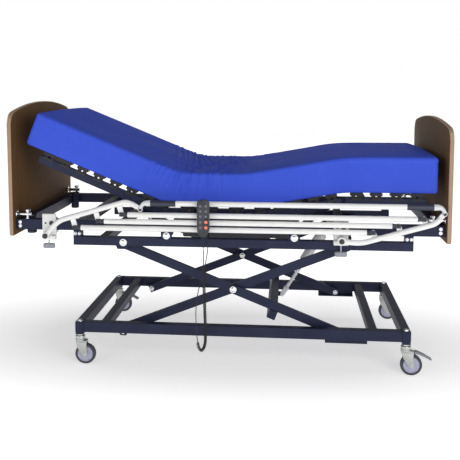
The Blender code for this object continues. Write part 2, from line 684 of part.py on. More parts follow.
def build_mattress(upper, back, thigh, leg, knee):
    """Four blocks; at a bend that closes, each end leans back by half of the bend's travel."""
    low, high = DECK_Z + GAP, DECK_Z + MATTRESS_T
    back_lean = math.tan(math.radians(31.0))
    thigh_lean = math.tan(math.radians(15.0))
    hinge = (BACK_X, HINGE_Z)
    rise_low, rise_high = low - HINGE_Z, high - HINGE_Z
    seat = [(BACK_X + back_lean * rise_low, low), (THIGH_X - thigh_lean * rise_low, low),
            (THIGH_X - thigh_lean * rise_high, high), (BACK_X + back_lean * rise_high, high)]
    foam("mattress_seat", upper, seat)
    flat = [(BACK_X - BACK_LEN, low), (BACK_X - back_lean * rise_low, low),
            (BACK_X - back_lean * rise_high, high), (BACK_X - BACK_LEN, high)]
    foam("mattress_back", back, [turn_about(p, hinge, -BACK_TILT) for p in flat])
    hinge = (THIGH_X, HINGE_Z)
    flat = [(THIGH_X + thigh_lean * rise_low, low), (THIGH_X + THIGH_LEN - GAP, low),
            (THIGH_X + THIGH_LEN - GAP, high), (THIGH_X + thigh_lean * rise_high, high)]
    foam("mattress_thigh", thigh, [turn_about(p, hinge, THIGH_TILT) for p in flat])
    lift = knee[1] - HINGE_Z
    foam("mattress_leg", leg, [(knee[0] + 0.003, low + lift), (knee[0] + LEG_LEN, low + lift),
                               (knee[0] + LEG_LEN, high + lift), (knee[0] + 0.003, high + lift)])


# ---------------------------------------------------------------- side rail

def arm_point(pivot_x, reach, offset=0.0):
    """A point on an arm: reach along its chord, offset square to the chord (up is positive)."""
    c, s = math.cos(ARM_TILT), math.sin(ARM_TILT)
    return (pivot_x + c * reach - s * offset, ARM_Z + s * reach + c * offset)


def arm_bow(reach, height):
    """Height of an arm's bow over its chord: it leaves both ends early and runs parallel between."""
    rise = min(1.0, reach / 0.110)
    fall = min(1.0, (TIP_R - reach) / 0.070)
    return height * math.sin(math.pi / 2 * max(0.0, rise)) * math.sin(math.pi / 2 * max(0.0, fall))


def build_arm(name, pivot_x, bow, body):
    y = RAIL_PLANE
    points = []
    steps = 22
    for i in range(steps + 1):
        reach = TIP_R * i / steps
        x, z = arm_point(pivot_x, reach, arm_bow(reach, bow))
        points.append((x, y, z))
    pieces = [sweep(points, RAIL_R)]
    pieces.append(rod((pivot_x, y - 0.0140, ARM_Z), (pivot_x, y + 0.0140, ARM_Z), 0.019, 20))
    for reach in PIN_R:
        top = arm_point(pivot_x, reach, arm_bow(reach, bow))
        pin = arm_point(pivot_x, reach)
        pieces.append(bar(top, pin, 0.026, (y + 0.0045, y + 0.0105), 0.008))
        pieces.append(rod((pin[0], y - 0.0085, pin[1]), (pin[0], y + 0.006, pin[1]), 0.004, 12))
        pieces.append(rod((pin[0], y - 0.0085, pin[1]), (pin[0], y - 0.0045, pin[1]), 0.008, 12))
    tip = arm_point(pivot_x, TIP_R)
    pieces.append(rod((tip[0], y + 0.0045, tip[1]), (tip[0], y + 0.0105, tip[1]), 0.0118, 16))
    pieces.append(rod((tip[0], y - 0.0085, tip[1]), (tip[0], y + 0.006, tip[1]), 0.004, 12))
    pieces.append(rod((tip[0], y - 0.0085, tip[1]), (tip[0], y - 0.0045, tip[1]), 0.008, 12))
    relief = rod((tip[0], y - 0.0135, tip[1]), (tip[0], y + 0.0042, tip[1]), 0.0215, 20)
    hole = rod((pivot_x, y - 0.02, ARM_Z), (pivot_x, y + 0.02, ARM_Z), 0.0064)
    tube = pieces.pop(0)
    boolean(tube, relief, "DIFFERENCE")
    fuse(name, off_white(), body, [tube, *pieces], [hole])


def tongue(pin, side, y):
    """The flat end of a rail, from its tube to its pin."""
    x = tuple(sorted((pin[0] - side * 0.011, pin[0] + side * 0.026)))
    return block(x, (y - 0.0040, y + 0.0040), (pin[1] - 0.010, pin[1] + 0.010), 0.002)


def build_rail(name, reach, body):
    y = RAIL_PLANE
    head, foot = arm_point(ARM_HEAD_X, reach), arm_point(ARM_FOOT_X, reach)
    pieces = [rod((head[0] + 0.021, y, head[1]), (foot[0] - 0.021, y, foot[1]), RAIL_R, 16),
              tongue(head, 1, y), tongue(foot, -1, y)]
    holes = [rod((p[0], y - 0.01, p[1]), (p[0], y + 0.01, p[1]), 0.0045, 12) for p in (head, foot)]
    fuse(name, off_white(), body, pieces, holes)


def build_top_rail(body):
    """The grab rail: two thicker sleeves on one tube, and a cast corner down to each arm's tip."""
    y = RAIL_PLANE
    head, foot = arm_point(ARM_HEAD_X, TIP_R), arm_point(ARM_FOOT_X, TIP_R)
    z = head[1] + TOP_RAIL_LIFT
    pieces = [rod((head[0] + 0.020, y, z), (foot[0] - 0.020, y, z), RAIL_R, 16),
              rod((head[0] + 0.047, y, z), (head[0] + 0.165, y, z), 0.0145, 16),
              rod((foot[0] - 0.165, y, z), (foot[0] - 0.047, y, z), 0.0145, 16)]
    for pin, side in ((head, 1), (foot, -1)):
        corner = [(pin[0] - side * 0.004, pin[1] + 0.004), (pin[0] - side * 0.004, z - 0.004),
                  (pin[0] + side * 0.010, z + 0.0125), (pin[0] + side * 0.048, z + 0.0125),
                  (pin[0] + side * 0.048, z - 0.0125), (pin[0] + side * 0.024, z - 0.016),
                  (pin[0] + side * 0.012, pin[1] + 0.004)]
        if side < 0:
            corner.reverse()
        pieces.append(plate(corner, (y - 0.0040, y + 0.0040)))
        pieces.append(rod((pin[0], y - 0.0040, pin[1]), (pin[0], y + 0.0040, pin[1]), 0.0118, 16))
        pieces.append(rod((pin[0] + side * 0.022, y, z), (pin[0] + side * 0.048, y, z), 0.0140, 12))
    holes = [rod((p[0], y - 0.01, p[1]), (p[0], y + 0.01, p[1]), 0.0045, 12) for p in (head, foot)]
    fuse("rail_top", off_white(), body, pieces, holes)


def build_clamp(name, pivot_x, upper):
    """A C-shaped clamp over the side tube with the arm's pivot on its face and a screw from below."""
    face, back = -0.470, -FRAME_Y - GAP
    x = (pivot_x - 0.034, pivot_x + 0.034)
    pieces = [block(x, (face, back), (0.612, 0.734), SKIN),
              block(x, (face + 0.001, -RAIL_Y - 0.0135), (MAIN_Z[1] + GAP, 0.715)),
              block(x, (face + 0.001, -0.425), (0.642, MAIN_Z[0] - GAP)),
              block(x, (-0.489, face + 0.002), (0.612, 0.634), SKIN),
              rod((pivot_x, -0.465, ARM_Z), (pivot_x, RAIL_PLANE + 0.0145, ARM_Z), 0.016, 20),
              rod((pivot_x, -0.490, ARM_Z), (pivot_x, RAIL_PLANE - 0.0145, ARM_Z), 0.006, 16),
              rod((pivot_x, RAIL_PLANE - 0.0220, ARM_Z), (pivot_x, RAIL_PLANE - 0.0145, ARM_Z), 0.012, 16)]
    screw_y = -0.4745
    screw_hole = rod((pivot_x, screw_y, 0.600), (pivot_x, screw_y, 0.6220), 0.0046, 12)
    fuse(f"clamp_{name}", off_white(), upper, pieces, [screw_hole])
    turn = axis_empty(f"axis_screw_{name}", (pivot_x, screw_y, 0.600), upper)
    low = KNOB_Z[name]
    knob = []
    for dx in (-0.016, 0.016):
        knob.append(rod((pivot_x + dx, screw_y, low), (pivot_x + dx, screw_y, low + 0.022), 0.013, 16))
    knob.append(block((pivot_x - 0.016, pivot_x + 0.016), (screw_y - 0.012, screw_y + 0.012),
                      (low + 0.0005, low + 0.0215)))
    knob.append(rod((pivot_x, screw_y, low + 0.013), (pivot_x, screw_y, 0.6215), 0.0040, 12))
    fuse(f"clamp_screw_{name}", grey_plastic(), turn, knob)


def build_side_rail(upper):
    head = axis_empty("axis_arm_head", (ARM_HEAD_X, RAIL_PLANE, ARM_Z), upper)
    foot = axis_empty("axis_arm_foot", (ARM_FOOT_X, RAIL_PLANE, ARM_Z), upper)
    build_arm("rail_arm_head", ARM_HEAD_X, 0.052, head)
    build_arm("rail_arm_foot", ARM_FOOT_X, -0.032, foot)
    for name, reach in zip(("rail_low", "rail_mid", "rail_high"), PIN_R):
        x, z = arm_point(ARM_HEAD_X, reach)
        build_rail(name, reach, axis_empty(f"axis_{name}", (x, RAIL_PLANE, z), head))
    x, z = arm_point(ARM_HEAD_X, TIP_R)
    build_top_rail(axis_empty("axis_rail_top", (x, RAIL_PLANE, z), head))
    build_clamp("head", ARM_HEAD_X, upper)
    build_clamp("foot", ARM_FOOT_X, upper)


# ---------------------------------------------------------------- handset and cord

def handset_outline():
    """A rounded top, straight sides and a taper to the cord."""
    half = 0.0285
    points = []
    for i in range(9):
        turn = math.pi * i / 8
        points.append((SET_X + half * math.cos(turn), SET_Z[1] - 0.020 + 0.020 * math.sin(turn)))
    points += [(SET_X - half, SET_Z[0] + 0.036), (SET_X - 0.019, SET_Z[0] + 0.008), (SET_X - 0.008, SET_Z[0]),
               (SET_X + 0.008, SET_Z[0]), (SET_X + 0.019, SET_Z[0] + 0.008), (SET_X + half, SET_Z[0] + 0.036)]
    return points


def build_handset(upper):
    bm = bmesh.new()
    face = bm.faces.new([bm.verts.new((x, SET_Y[0], z)) for x, z in handset_outline()])
    moved = bmesh.ops.extrude_face_region(bm, geom=[face])["geom"]
    bmesh.ops.translate(bm, verts=[v for v in moved if isinstance(v, bmesh.types.BMVert)],
                        vec=(0.0, SET_Y[1] - SET_Y[0], 0.0))
    rim = [e for e in bm.edges if abs(e.verts[0].co.y - e.verts[1].co.y) < 1e-6]
    bmesh.ops.bevel(bm, geom=rim, offset=0.005, segments=2, profile=0.5, affect="EDGES")
    wells, buttons = [], []
    for name, z in (("upper", 0.724), ("lower", 0.699)):
        x, y = SET_X + 0.0125, SET_Y[0]
        wells.append(rod((x, y - 0.002, z), (x, y + 0.0042, z), 0.0086, 16))
        buttons.append((name, x, y, z))
    fuse("handset", black_plastic(), upper, [solid(bm)], wells)
    for name, x, y, z in buttons:
        press = axis_empty(f"axis_button_{name}", (x, y, z), upper)
        fuse(f"button_{name}", red_plastic(), press, [rod((x, y - 0.0015, z), (x, y + 0.0020, z), 0.0082, 16)])


def smooth_route(knots, spacing):
    """Evenly spaced points on a Catmull-Rom curve through the knots."""
    knots = [Vector(k) for k in knots]
    padded = [knots[0] * 2 - knots[1], *knots, knots[-1] * 2 - knots[-2]]
    dense = []
    for a, b, c, d in zip(padded, padded[1:], padded[2:], padded[3:]):
        for i in range(24):
            t = i / 24
            dense.append(0.5 * (2 * b + (c - a) * t + (2 * a - 5 * b + 4 * c - d) * t * t
                                + (3 * b - a - 3 * c + d) * t ** 3))
    dense.append(knots[-1])
    total = sum((q - p).length for p, q in zip(dense, dense[1:]))
    count = max(2, round(total / spacing))
    route, walked, target = [dense[0]], 0.0, total / count
    for p, q in zip(dense, dense[1:]):
        step = (q - p).length
        while walked + step >= target * len(route) - 1e-9 and len(route) < count:
            route.append(p.lerp(q, (target * len(route) - walked) / step))
        walked += step
    route.append(dense[-1])
    return route


def cable(name, knots, radius, spacing, resolution, look, body):
    curve = bpy.data.curves.new(name, "CURVE")
    curve.dimensions = "3D"
    curve.bevel_depth = radius
    curve.bevel_resolution = resolution
    curve.use_fill_caps = True
    curve.render_resolution_u = 0
    spline = curve.splines.new("POLY")
    route = smooth_route(knots, spacing)
    spline.points.add(len(route) - 1)
    origin = body.matrix_world.translation
    for point, spot in zip(spline.points, route):
        point.co = (*(spot - origin), 1.0)
    curve.materials.append(look)
    made = bpy.data.objects.new(name, curve)
    bpy.context.scene.collection.objects.link(made)
    made.parent = body
    return made


def build_cord(upper):
    """Straight lead, curly stretch that ends in a hook, then the lead up to the drive."""
    y = -0.558
    cable("cord_lead_top", [(SET_X, y, SET_Z[0] - GAP), (SET_X + 0.001, y, 0.600), (SET_X, y, 0.521 + GAP)],
          0.0030, 0.012, 2, black_plastic(), upper)
    cable("cord_curly", [(SET_X, y, 0.521), (SET_X + 0.003, y, 0.400), (SET_X + 0.008, y + 0.002, 0.230),
                         (SET_X + 0.006, y + 0.004, 0.155), (SET_X - 0.010, y + 0.006, 0.122),
                         (SET_X - 0.025, y + 0.008, 0.139), (SET_X - 0.028, y + 0.010, 0.163)],
          0.0075, 0.018, 4, black_plastic(), upper)
    cable("cord_lead_drive", [(SET_X - 0.028, y + 0.010, 0.1634), (SET_X - 0.033, y + 0.012, 0.200),
                              (SET_X - 0.037, y + 0.016, 0.300), (SET_X - 0.028, y + 0.026, 0.390),
                              (SET_X - 0.006, y + 0.042, 0.470), (SET_X + 0.010, y + 0.062, 0.560),
                              (SET_X + 0.014, y + 0.080, 0.615), (SET_X + 0.013, -0.440, 0.6402),
                              (SET_X + 0.006, -0.330, 0.6410), (SET_X, -0.180, 0.6450),
                              (SET_X, -0.0753, 0.6500)],
          0.0030, 0.016, 2, black_plastic(), upper)


# ---------------------------------------------------------------- the bed

def main():
    for old in list(bpy.data.objects):
        bpy.data.objects.remove(old)
    base = axis_empty("bed_base", (0.0, 0.0, 0.0))
    build_base(base)
    build_casters(base)
    outer = build_scissor(base)
    upper = axis_empty("bed_upper", (PIVOT_X, 0.0, PIVOT_Z[1]), outer)
    build_actuator(upper)
    build_main_frame(upper)
    build_sub_frame(upper)
    build_boards(upper)
    build_drive(upper)
    build_lever("back_lever", BACK_LEVER, BACK_REACH, BACK_REST, -1, upper)
    build_lever("leg_lever", LEG_LEVER, LEG_REACH, LEG_REST, 1, upper)
    build_deck(upper)
    build_side_rail(upper)
    build_handset(upper)
    build_cord(upper)
    base.location.y = MID_Y


main()
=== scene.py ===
"""Studio picture of the adjustable care bed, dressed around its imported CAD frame."""
import math
import random

import bmesh
import bpy
import numpy as np
from mathutils import Matrix, Vector


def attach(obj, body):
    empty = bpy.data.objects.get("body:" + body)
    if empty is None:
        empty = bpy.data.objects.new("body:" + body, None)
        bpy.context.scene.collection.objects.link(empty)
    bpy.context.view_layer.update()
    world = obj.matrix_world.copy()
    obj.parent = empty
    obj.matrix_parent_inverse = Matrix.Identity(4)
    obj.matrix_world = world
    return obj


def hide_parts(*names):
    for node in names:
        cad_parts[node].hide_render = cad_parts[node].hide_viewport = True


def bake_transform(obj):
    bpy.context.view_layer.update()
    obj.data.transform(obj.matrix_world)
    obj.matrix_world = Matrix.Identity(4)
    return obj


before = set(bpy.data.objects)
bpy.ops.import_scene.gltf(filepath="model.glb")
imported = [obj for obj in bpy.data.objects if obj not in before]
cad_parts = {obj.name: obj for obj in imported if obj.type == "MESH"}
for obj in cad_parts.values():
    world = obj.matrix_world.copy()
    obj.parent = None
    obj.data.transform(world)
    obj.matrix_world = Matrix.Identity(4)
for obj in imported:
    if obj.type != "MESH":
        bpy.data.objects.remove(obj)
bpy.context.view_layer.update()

MID_Y = 0.0385                      # middle plane of the frames
NEAR, FAR = -1, 1
TOWARD = Vector((0.0, -1.0, 0.0))   # to the near side, where the rail and handset are
UP = Vector((0.0, 0.0, 1.0))

# Places the frame gives, repeated from the CAD's driving sizes
PIVOT_X, PIVOT_LOW, PIVOT_HIGH = -0.492, 0.163, 0.581
ARM_SPAN = 1.056
BACK_HINGE = (-0.235, 0.762)        # X and Z of the hinges
THIGH_HINGE = (0.110, 0.762)
BACK_TILT = math.radians(22.3)
THIGH_TILT = math.radians(10.0)
THIGH_LEN = 0.440
DECK_Z = 0.772
RAIL_PLANE = -0.520
ARM_HEAD_X, ARM_FOOT_X, ARM_Z = -0.833, 0.533, 0.640
ARM_TILT = math.radians(16.2)
PIN_R = (0.145, 0.260, 0.375)       # rail pins along the arms, and the arms' tips
TIP_R = 0.467
TOP_LIFT = 0.029
LEVER_SHAFTS = (-0.273, 0.322)      # X of the back and leg levers' shafts
LEVER_Z = 0.638
CORNER_Y = 0.437                    # centre lines of the side tubes
SIDE_FACE = 0.4571                  # just outside the side tubes
CASTER_HEAD, CASTER_FOOT = -0.700, 0.840
SET_X, SET_LOW, SET_HIGH = -0.0885, 0.655, 0.828
SET_FRONT, SET_BACK = -0.5705, -0.5455


def at(x, y, z):
    """A point given from the frames' middle plane."""
    return Vector((x, y + MID_Y, z))


# ---------------------------------------------------------------- camera, floor and light

def make_camera():
    """The photographer's camera: place, turn and lens, with the image plane shifted off centre."""
    place = at(0.2892, -4.0061, 1.3413)
    yaw, pitch, roll = -0.1041, -0.1028, -0.0013
    focal_px, centre_x, centre_y, image = 777.5, 207.1, 164.75, 460.0
    forward = Vector((math.sin(yaw), math.cos(yaw), 0.0))
    side = Vector((math.cos(yaw), -math.sin(yaw), 0.0))
    look = forward * math.cos(pitch) + UP * math.sin(pitch)
    top = UP * math.cos(pitch) - forward * math.sin(pitch)
    right = side * math.cos(roll) + top * math.sin(roll)
    top = top * math.cos(roll) - side * math.sin(roll)
    data = bpy.data.cameras.new("camera")
    data.sensor_width = 36.0
    data.lens = focal_px / image * data.sensor_width
    data.shift_x = (image / 2 - centre_x) / image
    data.shift_y = (centre_y - image / 2) / image
    camera = bpy.data.objects.new("camera", data)
    bpy.context.scene.collection.objects.link(camera)
    turn = Matrix((right, top, -look)).transposed().to_4x4()
    camera.matrix_world = Matrix.Translation(place) @ turn
    bpy.context.scene.camera = camera
    bpy.context.scene.view_settings.view_transform = "Standard"


def make_light(name, place, target, size, power):
    data = bpy.data.lights.new(name, "AREA")
    data.shape = "RECTANGLE"
    data.size, data.size_y = size
    data.energy = power
    lamp = bpy.data.objects.new(name, data)
    bpy.context.scene.collection.objects.link(lamp)
    lamp.location = place
    lamp.rotation_euler = (Vector(target) - Vector(place)).to_track_quat("-Z", "Y").to_euler()


def make_stage():
    """White low down all round, dim overhead, a pale floor that glows with painted light, and three soft
    lights.
    """
    world = bpy.data.worlds.new("studio")
    bpy.context.scene.world = world
    world.use_nodes = True
    tree = world.node_tree
    where = node(tree, "ShaderNodeTexCoord")
    split = node(tree, "ShaderNodeSeparateXYZ")
    tree.links.new(where.outputs["Generated"], split.inputs["Vector"])
    sky = ramp(tree, split.outputs["Z"], 0.12, 0.36, 1.0, 0.10)
    tree.nodes["Background"].inputs["Color"].default_value = (1.0, 1.0, 1.0, 1.0)
    tree.links.new(sky, tree.nodes["Background"].inputs["Strength"])
    floor = quick_mesh("studio_floor", [(-14, -10, 0), (14, -10, 0), (14, 16, 0), (-14, 16, 0)],
                       [(0, 1, 2, 3)], floor_material())
    make_light("key", (2.2, -4.2, 2.0), (0.0, 0.0, 0.7), (2.6, 2.0), 78.0)
    make_light("fill", (-2.8, -3.6, 1.6), (0.0, 0.0, 0.7), (2.0, 1.8), 26.0)
    make_light("top", (0.4, 0.6, 3.8), (0.0, 0.0, 0.6), (3.4, 2.4), 18.0)


# ---------------------------------------------------------------- materials

def shader(name, color, roughness, metallic=0.0, **sockets):
    made = bpy.data.materials.new(name)
    made.use_nodes = True
    tree = made.node_tree
    bsdf = tree.nodes["Principled BSDF"]
    bsdf.inputs["Base Color"].default_value = (*color, 1.0)
    bsdf.inputs["Roughness"].default_value = roughness
    bsdf.inputs["Metallic"].default_value = metallic
    for key, value in sockets.items():
        bsdf.inputs[key.replace("_", " ")].default_value = value
    return made, tree, bsdf


def node(tree, kind, **settings):
    made = tree.nodes.new(kind)
    for key, value in settings.items():
        if key in made.inputs:
            made.inputs[key].default_value = value
        else:
            setattr(made, key, value)
    return made


def coords(tree, stretch=(1.0, 1.0, 1.0)):
    """Object coordinates, in metres, so a pattern keeps its true scale and moves with its piece."""
    where = node(tree, "ShaderNodeTexCoord")
    scale = node(tree, "ShaderNodeMapping")
    scale.inputs["Scale"].default_value = stretch
    tree.links.new(where.outputs["Object"], scale.inputs["Vector"])
    return scale.outputs["Vector"]


def noise(tree, vector, scale, detail=3.0, rough=0.55):
    made = node(tree, "ShaderNodeTexNoise", Scale=scale, Detail=detail, Roughness=rough)
    tree.links.new(vector, made.inputs["Vector"])
    return made.outputs["Fac"]


def ramp(tree, factor, low, high, out_low, out_high):
    """Map a factor between two limits onto two values."""
    made = node(tree, "ShaderNodeMapRange")
    made.inputs["From Min"].default_value = low
    made.inputs["From Max"].default_value = high
    made.inputs["To Min"].default_value = out_low
    made.inputs["To Max"].default_value = out_high
    tree.links.new(factor, made.inputs["Value"])
    return made.outputs["Result"]


def tint(tree, bsdf, factor, low, high):
    """Vary the base colour between two colours."""
    mix = node(tree, "ShaderNodeMix", data_type="RGBA")
    mix.inputs[6].default_value = (*low, 1.0)
    mix.inputs[7].default_value = (*high, 1.0)
    tree.links.new(factor, mix.inputs[0])
    tree.links.new(mix.outputs[2], bsdf.inputs["Base Color"])
    return mix.outputs[2]


def bump(tree, bsdf, height, strength, distance, before=None):
    made = node(tree, "ShaderNodeBump")
    made.inputs["Strength"].default_value = strength
    made.inputs["Distance"].default_value = distance
    tree.links.new(height, made.inputs["Height"])
    if before:
        tree.links.new(before, made.inputs["Normal"])
    tree.links.new(made.outputs["Normal"], bsdf.inputs["Normal"])
    return made.outputs["Normal"]


def add(tree, a, b, operation="ADD"):
    made = node(tree, "ShaderNodeMath", operation=operation)
    tree.links.new(a, made.inputs[0])
    if isinstance(b, (int, float)):
        made.inputs[1].default_value = b
    else:
        tree.links.new(b, made.inputs[1])
    return made.outputs["Value"]


def coat_material(name, base, light, roughness, peel=900.0):
    """Powder coat: orange peel, faint clouding and scuffs that shine differently."""
    made, tree, bsdf = shader(name, base, roughness, 0.0, Specular_IOR_Level=0.12)
    where = coords(tree)
    tint(tree, bsdf, ramp(tree, noise(tree, where, 9.0, 5.0), 0.35, 0.75, 0.0, 1.0), base, light)
    scuff = noise(tree, coords(tree, (1.0, 3.0, 3.0)), 45.0, 6.0, 0.7)
    tree.links.new(ramp(tree, scuff, 0.4, 0.8, roughness, roughness + 0.16), bsdf.inputs["Roughness"])
    first = bump(tree, bsdf, noise(tree, where, peel, 2.0), 0.18, 0.0006)
    bump(tree, bsdf, noise(tree, where, 26.0, 3.0), 0.10, 0.0012, first)
    return made


def metal_material(name, base, light, roughness, streak=(1.0, 1.0, 14.0)):
    made, tree, bsdf = shader(name, base, roughness, 1.0)
    where = coords(tree, streak)
    tint(tree, bsdf, noise(tree, where, 60.0, 4.0), base, light)
    fine = noise(tree, where, 260.0, 3.0)
    tree.links.new(ramp(tree, fine, 0.3, 0.8, roughness * 0.75, roughness * 1.5), bsdf.inputs["Roughness"])
    bump(tree, bsdf, fine, 0.08, 0.0004)
    return made


def plastic_material(name, base, light, roughness, grain=1400.0, depth=0.25):
    """Moulded plastic: fine spark grain and slight shade differences."""
    made, tree, bsdf = shader(name, base, roughness)
    where = coords(tree)
    tint(tree, bsdf, noise(tree, where, 30.0, 4.0), base, light)
    cells = node(tree, "ShaderNodeTexVoronoi", Scale=grain)
    tree.links.new(where, cells.inputs["Vector"])
    tree.links.new(ramp(tree, noise(tree, where, 80.0), 0.3, 0.8, roughness, roughness + 0.14),
                   bsdf.inputs["Roughness"])
    bump(tree, bsdf, cells.outputs["Distance"], depth, 0.0003)
    return made


def rubber_material(name, base, light, roughness=0.72):
    made, tree, bsdf = shader(name, base, roughness)
    where = coords(tree)
    tint(tree, bsdf, noise(tree, where, 40.0, 6.0), base, light)
    dust = noise(tree, where, 160.0, 5.0)
    tree.links.new(ramp(tree, dust, 0.3, 0.8, roughness - 0.1, roughness + 0.2), bsdf.inputs["Roughness"])
    bump(tree, bsdf, dust, 0.2, 0.0006)
    return made


def laminate_material(name, dark, light, roughness):
    """Wood-print laminate with an upright grain and a fine pressed texture."""
    made, tree, bsdf = shader(name, dark, roughness, 0.0, Specular_IOR_Level=0.10)
    where = coords(tree, (1.0, 14.0, 0.7))
    warp = noise(tree, where, 2.6, 5.0, 0.6)
    fibre = noise(tree, coords(tree, (1.0, 60.0, 2.2)), 6.0, 6.0, 0.65)
    both = add(tree, add(tree, warp, 0.6, "MULTIPLY"), add(tree, fibre, 0.4, "MULTIPLY"))
    tint(tree, bsdf, ramp(tree, both, 0.34, 0.68, 0.0, 1.0), dark, light)
    gloss = ramp(tree, fibre, 0.3, 0.8, roughness - 0.06, roughness + 0.12)
    tree.links.new(gloss, bsdf.inputs["Roughness"])
    bump(tree, bsdf, fibre, 0.12, 0.0004)
    return made


def beech_material():
    made, tree, bsdf = shader("beech_slats", (0.46, 0.29, 0.15), 0.5)
    grain = noise(tree, coords(tree, (16.0, 1.0, 16.0)), 9.0, 6.0, 0.6)
    tint(tree, bsdf, ramp(tree, grain, 0.3, 0.75, 0.0, 1.0), (0.36, 0.21, 0.10), (0.56, 0.38, 0.21))
    bump(tree, bsdf, grain, 0.15, 0.0005)
    return made


def fabric_material(name, base, light):
    """Coated knit cover, nearly matt: crossed threads, soft clouding, slack wrinkling."""
    threads = 250.0
    made, tree, bsdf = shader(name, base, 0.74, 0.0, Specular_IOR_Level=0.04)
    where = coords(tree)
    cloud = noise(tree, where, 5.0, 6.0, 0.6)
    fleck = noise(tree, where, 420.0, 3.0, 0.7)
    both = add(tree, add(tree, cloud, 0.7, "MULTIPLY"), add(tree, fleck, 0.3, "MULTIPLY"))
    tint(tree, bsdf, ramp(tree, both, 0.32, 0.7, 0.0, 1.0), base, light)
    waves = []
    for direction in ("X", "Y", "Z"):
        wave = node(tree, "ShaderNodeTexWave", bands_direction=direction, Scale=threads,
                    Distortion=1.2, Detail=1.0)
        tree.links.new(where, wave.inputs["Vector"])
        waves.append(wave.outputs["Fac"])
    weave = add(tree, add(tree, waves[0], waves[1], "MAXIMUM"), waves[2], "MULTIPLY")
    tree.links.new(ramp(tree, cloud, 0.3, 0.7, 0.52, 0.70), bsdf.inputs["Roughness"])
    first = bump(tree, bsdf, weave, 0.22, 0.0004)
    bump(tree, bsdf, noise(tree, where, 34.0, 4.0), 0.22, 0.0016, first)
    return made


def floor_material():
    """Pale floor that glows: painted light, weaker round the bed as painted shade, full where it meets the
    backdrop.
    """
    made, tree, bsdf = shader("studio_floor", (0.80, 0.80, 0.80), 0.8, 0.0,
                              Emission_Color=(1.0, 1.0, 1.0, 1.0))
    far = node(tree, "ShaderNodeVectorMath", operation="LENGTH")
    tree.links.new(coords(tree, (0.5, 1.0, 1.0)), far.inputs[0])
    # painted light and shade: emission 0.51 in an oval round the bed, where its shadow falls, rising to 1.0
    # away from it
    painted_glow = ramp(tree, far.outputs["Value"], 0.50, 1.35, 0.51, 1.0)
    tree.links.new(painted_glow, bsdf.inputs["Emission Strength"])
    tint(tree, bsdf, noise(tree, coords(tree), 0.4, 3.0), (0.79, 0.79, 0.795), (0.82, 0.82, 0.82))
    return made


# ---------------------------------------------------------------- mesh helpers

def finish_object(name, bm, look, crease=35.0):
    bmesh.ops.recalc_face_normals(bm, faces=bm.faces)
    mesh = bpy.data.meshes.new(name)
    bm.to_mesh(mesh)
    bm.free()
    mesh.shade_smooth()
    mesh.set_sharp_from_angle(angle=math.radians(crease))
    for one in (look if isinstance(look, (list, tuple)) else [look]):
        mesh.materials.append(one)
    made = bpy.data.objects.new(name, mesh)
    bpy.context.scene.collection.objects.link(made)
    return made


def quick_mesh(name, verts, faces, look):
    bm = bmesh.new()
    made = [bm.verts.new(v) for v in verts]
    for face in faces:
        bm.faces.new([made[i] for i in face])
    return finish_object(name, bm, look)


def grow(bm, other):
    """Add another bmesh's shape to bm."""
    mesh = bpy.data.meshes.new("work")
    other.to_mesh(mesh)
    other.free()
    bm.from_mesh(mesh)
    bpy.data.meshes.remove(mesh)


def box(bm, x, y, z, radius=0.003, steps=2, turn=None):
    """A box with rounded edges; y counts from the frames' middle plane."""
    one = bmesh.new()
    middle = Vector(((x[0] + x[1]) / 2, (y[0] + y[1]) / 2 + MID_Y, (z[0] + z[1]) / 2))
    size = (abs(x[1] - x[0]), abs(y[1] - y[0]), abs(z[1] - z[0]))
    bmesh.ops.create_cube(one, size=1.0, matrix=Matrix.Translation(middle) @ Matrix.Diagonal((*size, 1.0)))
    radius = min(radius, min(size) * 0.45)
    if radius > 0.0:
        bmesh.ops.bevel(one, geom=one.edges[:], offset=radius, segments=steps, profile=0.5, affect="EDGES")
    if turn:
        bmesh.ops.transform(one, matrix=turn, verts=one.verts)
    grow(bm, one)


def hoops(bm, start, end, profile, sides):
    """One loop of vertices for each (radius, distance from start) pair on the line to end."""
    start, end = Vector(start), Vector(end)
    axis = (end - start).normalized()
    turn = axis.to_track_quat("Z", "Y").to_matrix()
    loops = []
    for radius, along in profile:
        loop = []
        for k in range(sides):
            angle = 2 * math.pi * k / sides
            spoke = turn @ Vector((radius * math.cos(angle), radius * math.sin(angle), 0.0))
            loop.append(bm.verts.new(start + axis * along + spoke))
        loops.append(loop)
    return loops


def bridge(bm, loops):
    """Faces between neighbouring loops of vertices."""
    faces = []
    for a, b in zip(loops, loops[1:]):
        for k in range(len(a)):
            j = (k + 1) % len(a)
            faces.append(bm.faces.new((a[k], a[j], b[j], b[k])))
    return faces


def lathe(bm, start, end, profile, sides=32):
    """Turn (radius, distance from start) pairs about the line from start to end."""
    one = bmesh.new()
    loops = hoops(one, start, end, profile, sides)
    bridge(one, loops)
    one.faces.new(loops[0][::-1])
    one.faces.new(loops[-1])
    grow(bm, one)


def ring(bm, start, end, profile, sides):
    """Turn a closed loop of (radius, distance) pairs, leaving the middle open."""
    one = bmesh.new()
    loops = hoops(one, start, end, profile, sides)
    bridge(one, loops + loops[:1])
    grow(bm, one)


def rod(bm, start, end, radius, sides=24, edge=0.0008):
    """A round bar with eased ends."""
    length = (Vector(end) - Vector(start)).length
    edge = min(edge, radius * 0.4, length * 0.3)
    lathe(bm, start, end, [(radius - edge, 0.0), (radius, edge), (radius, length - edge),
                           (radius - edge, length)], sides)


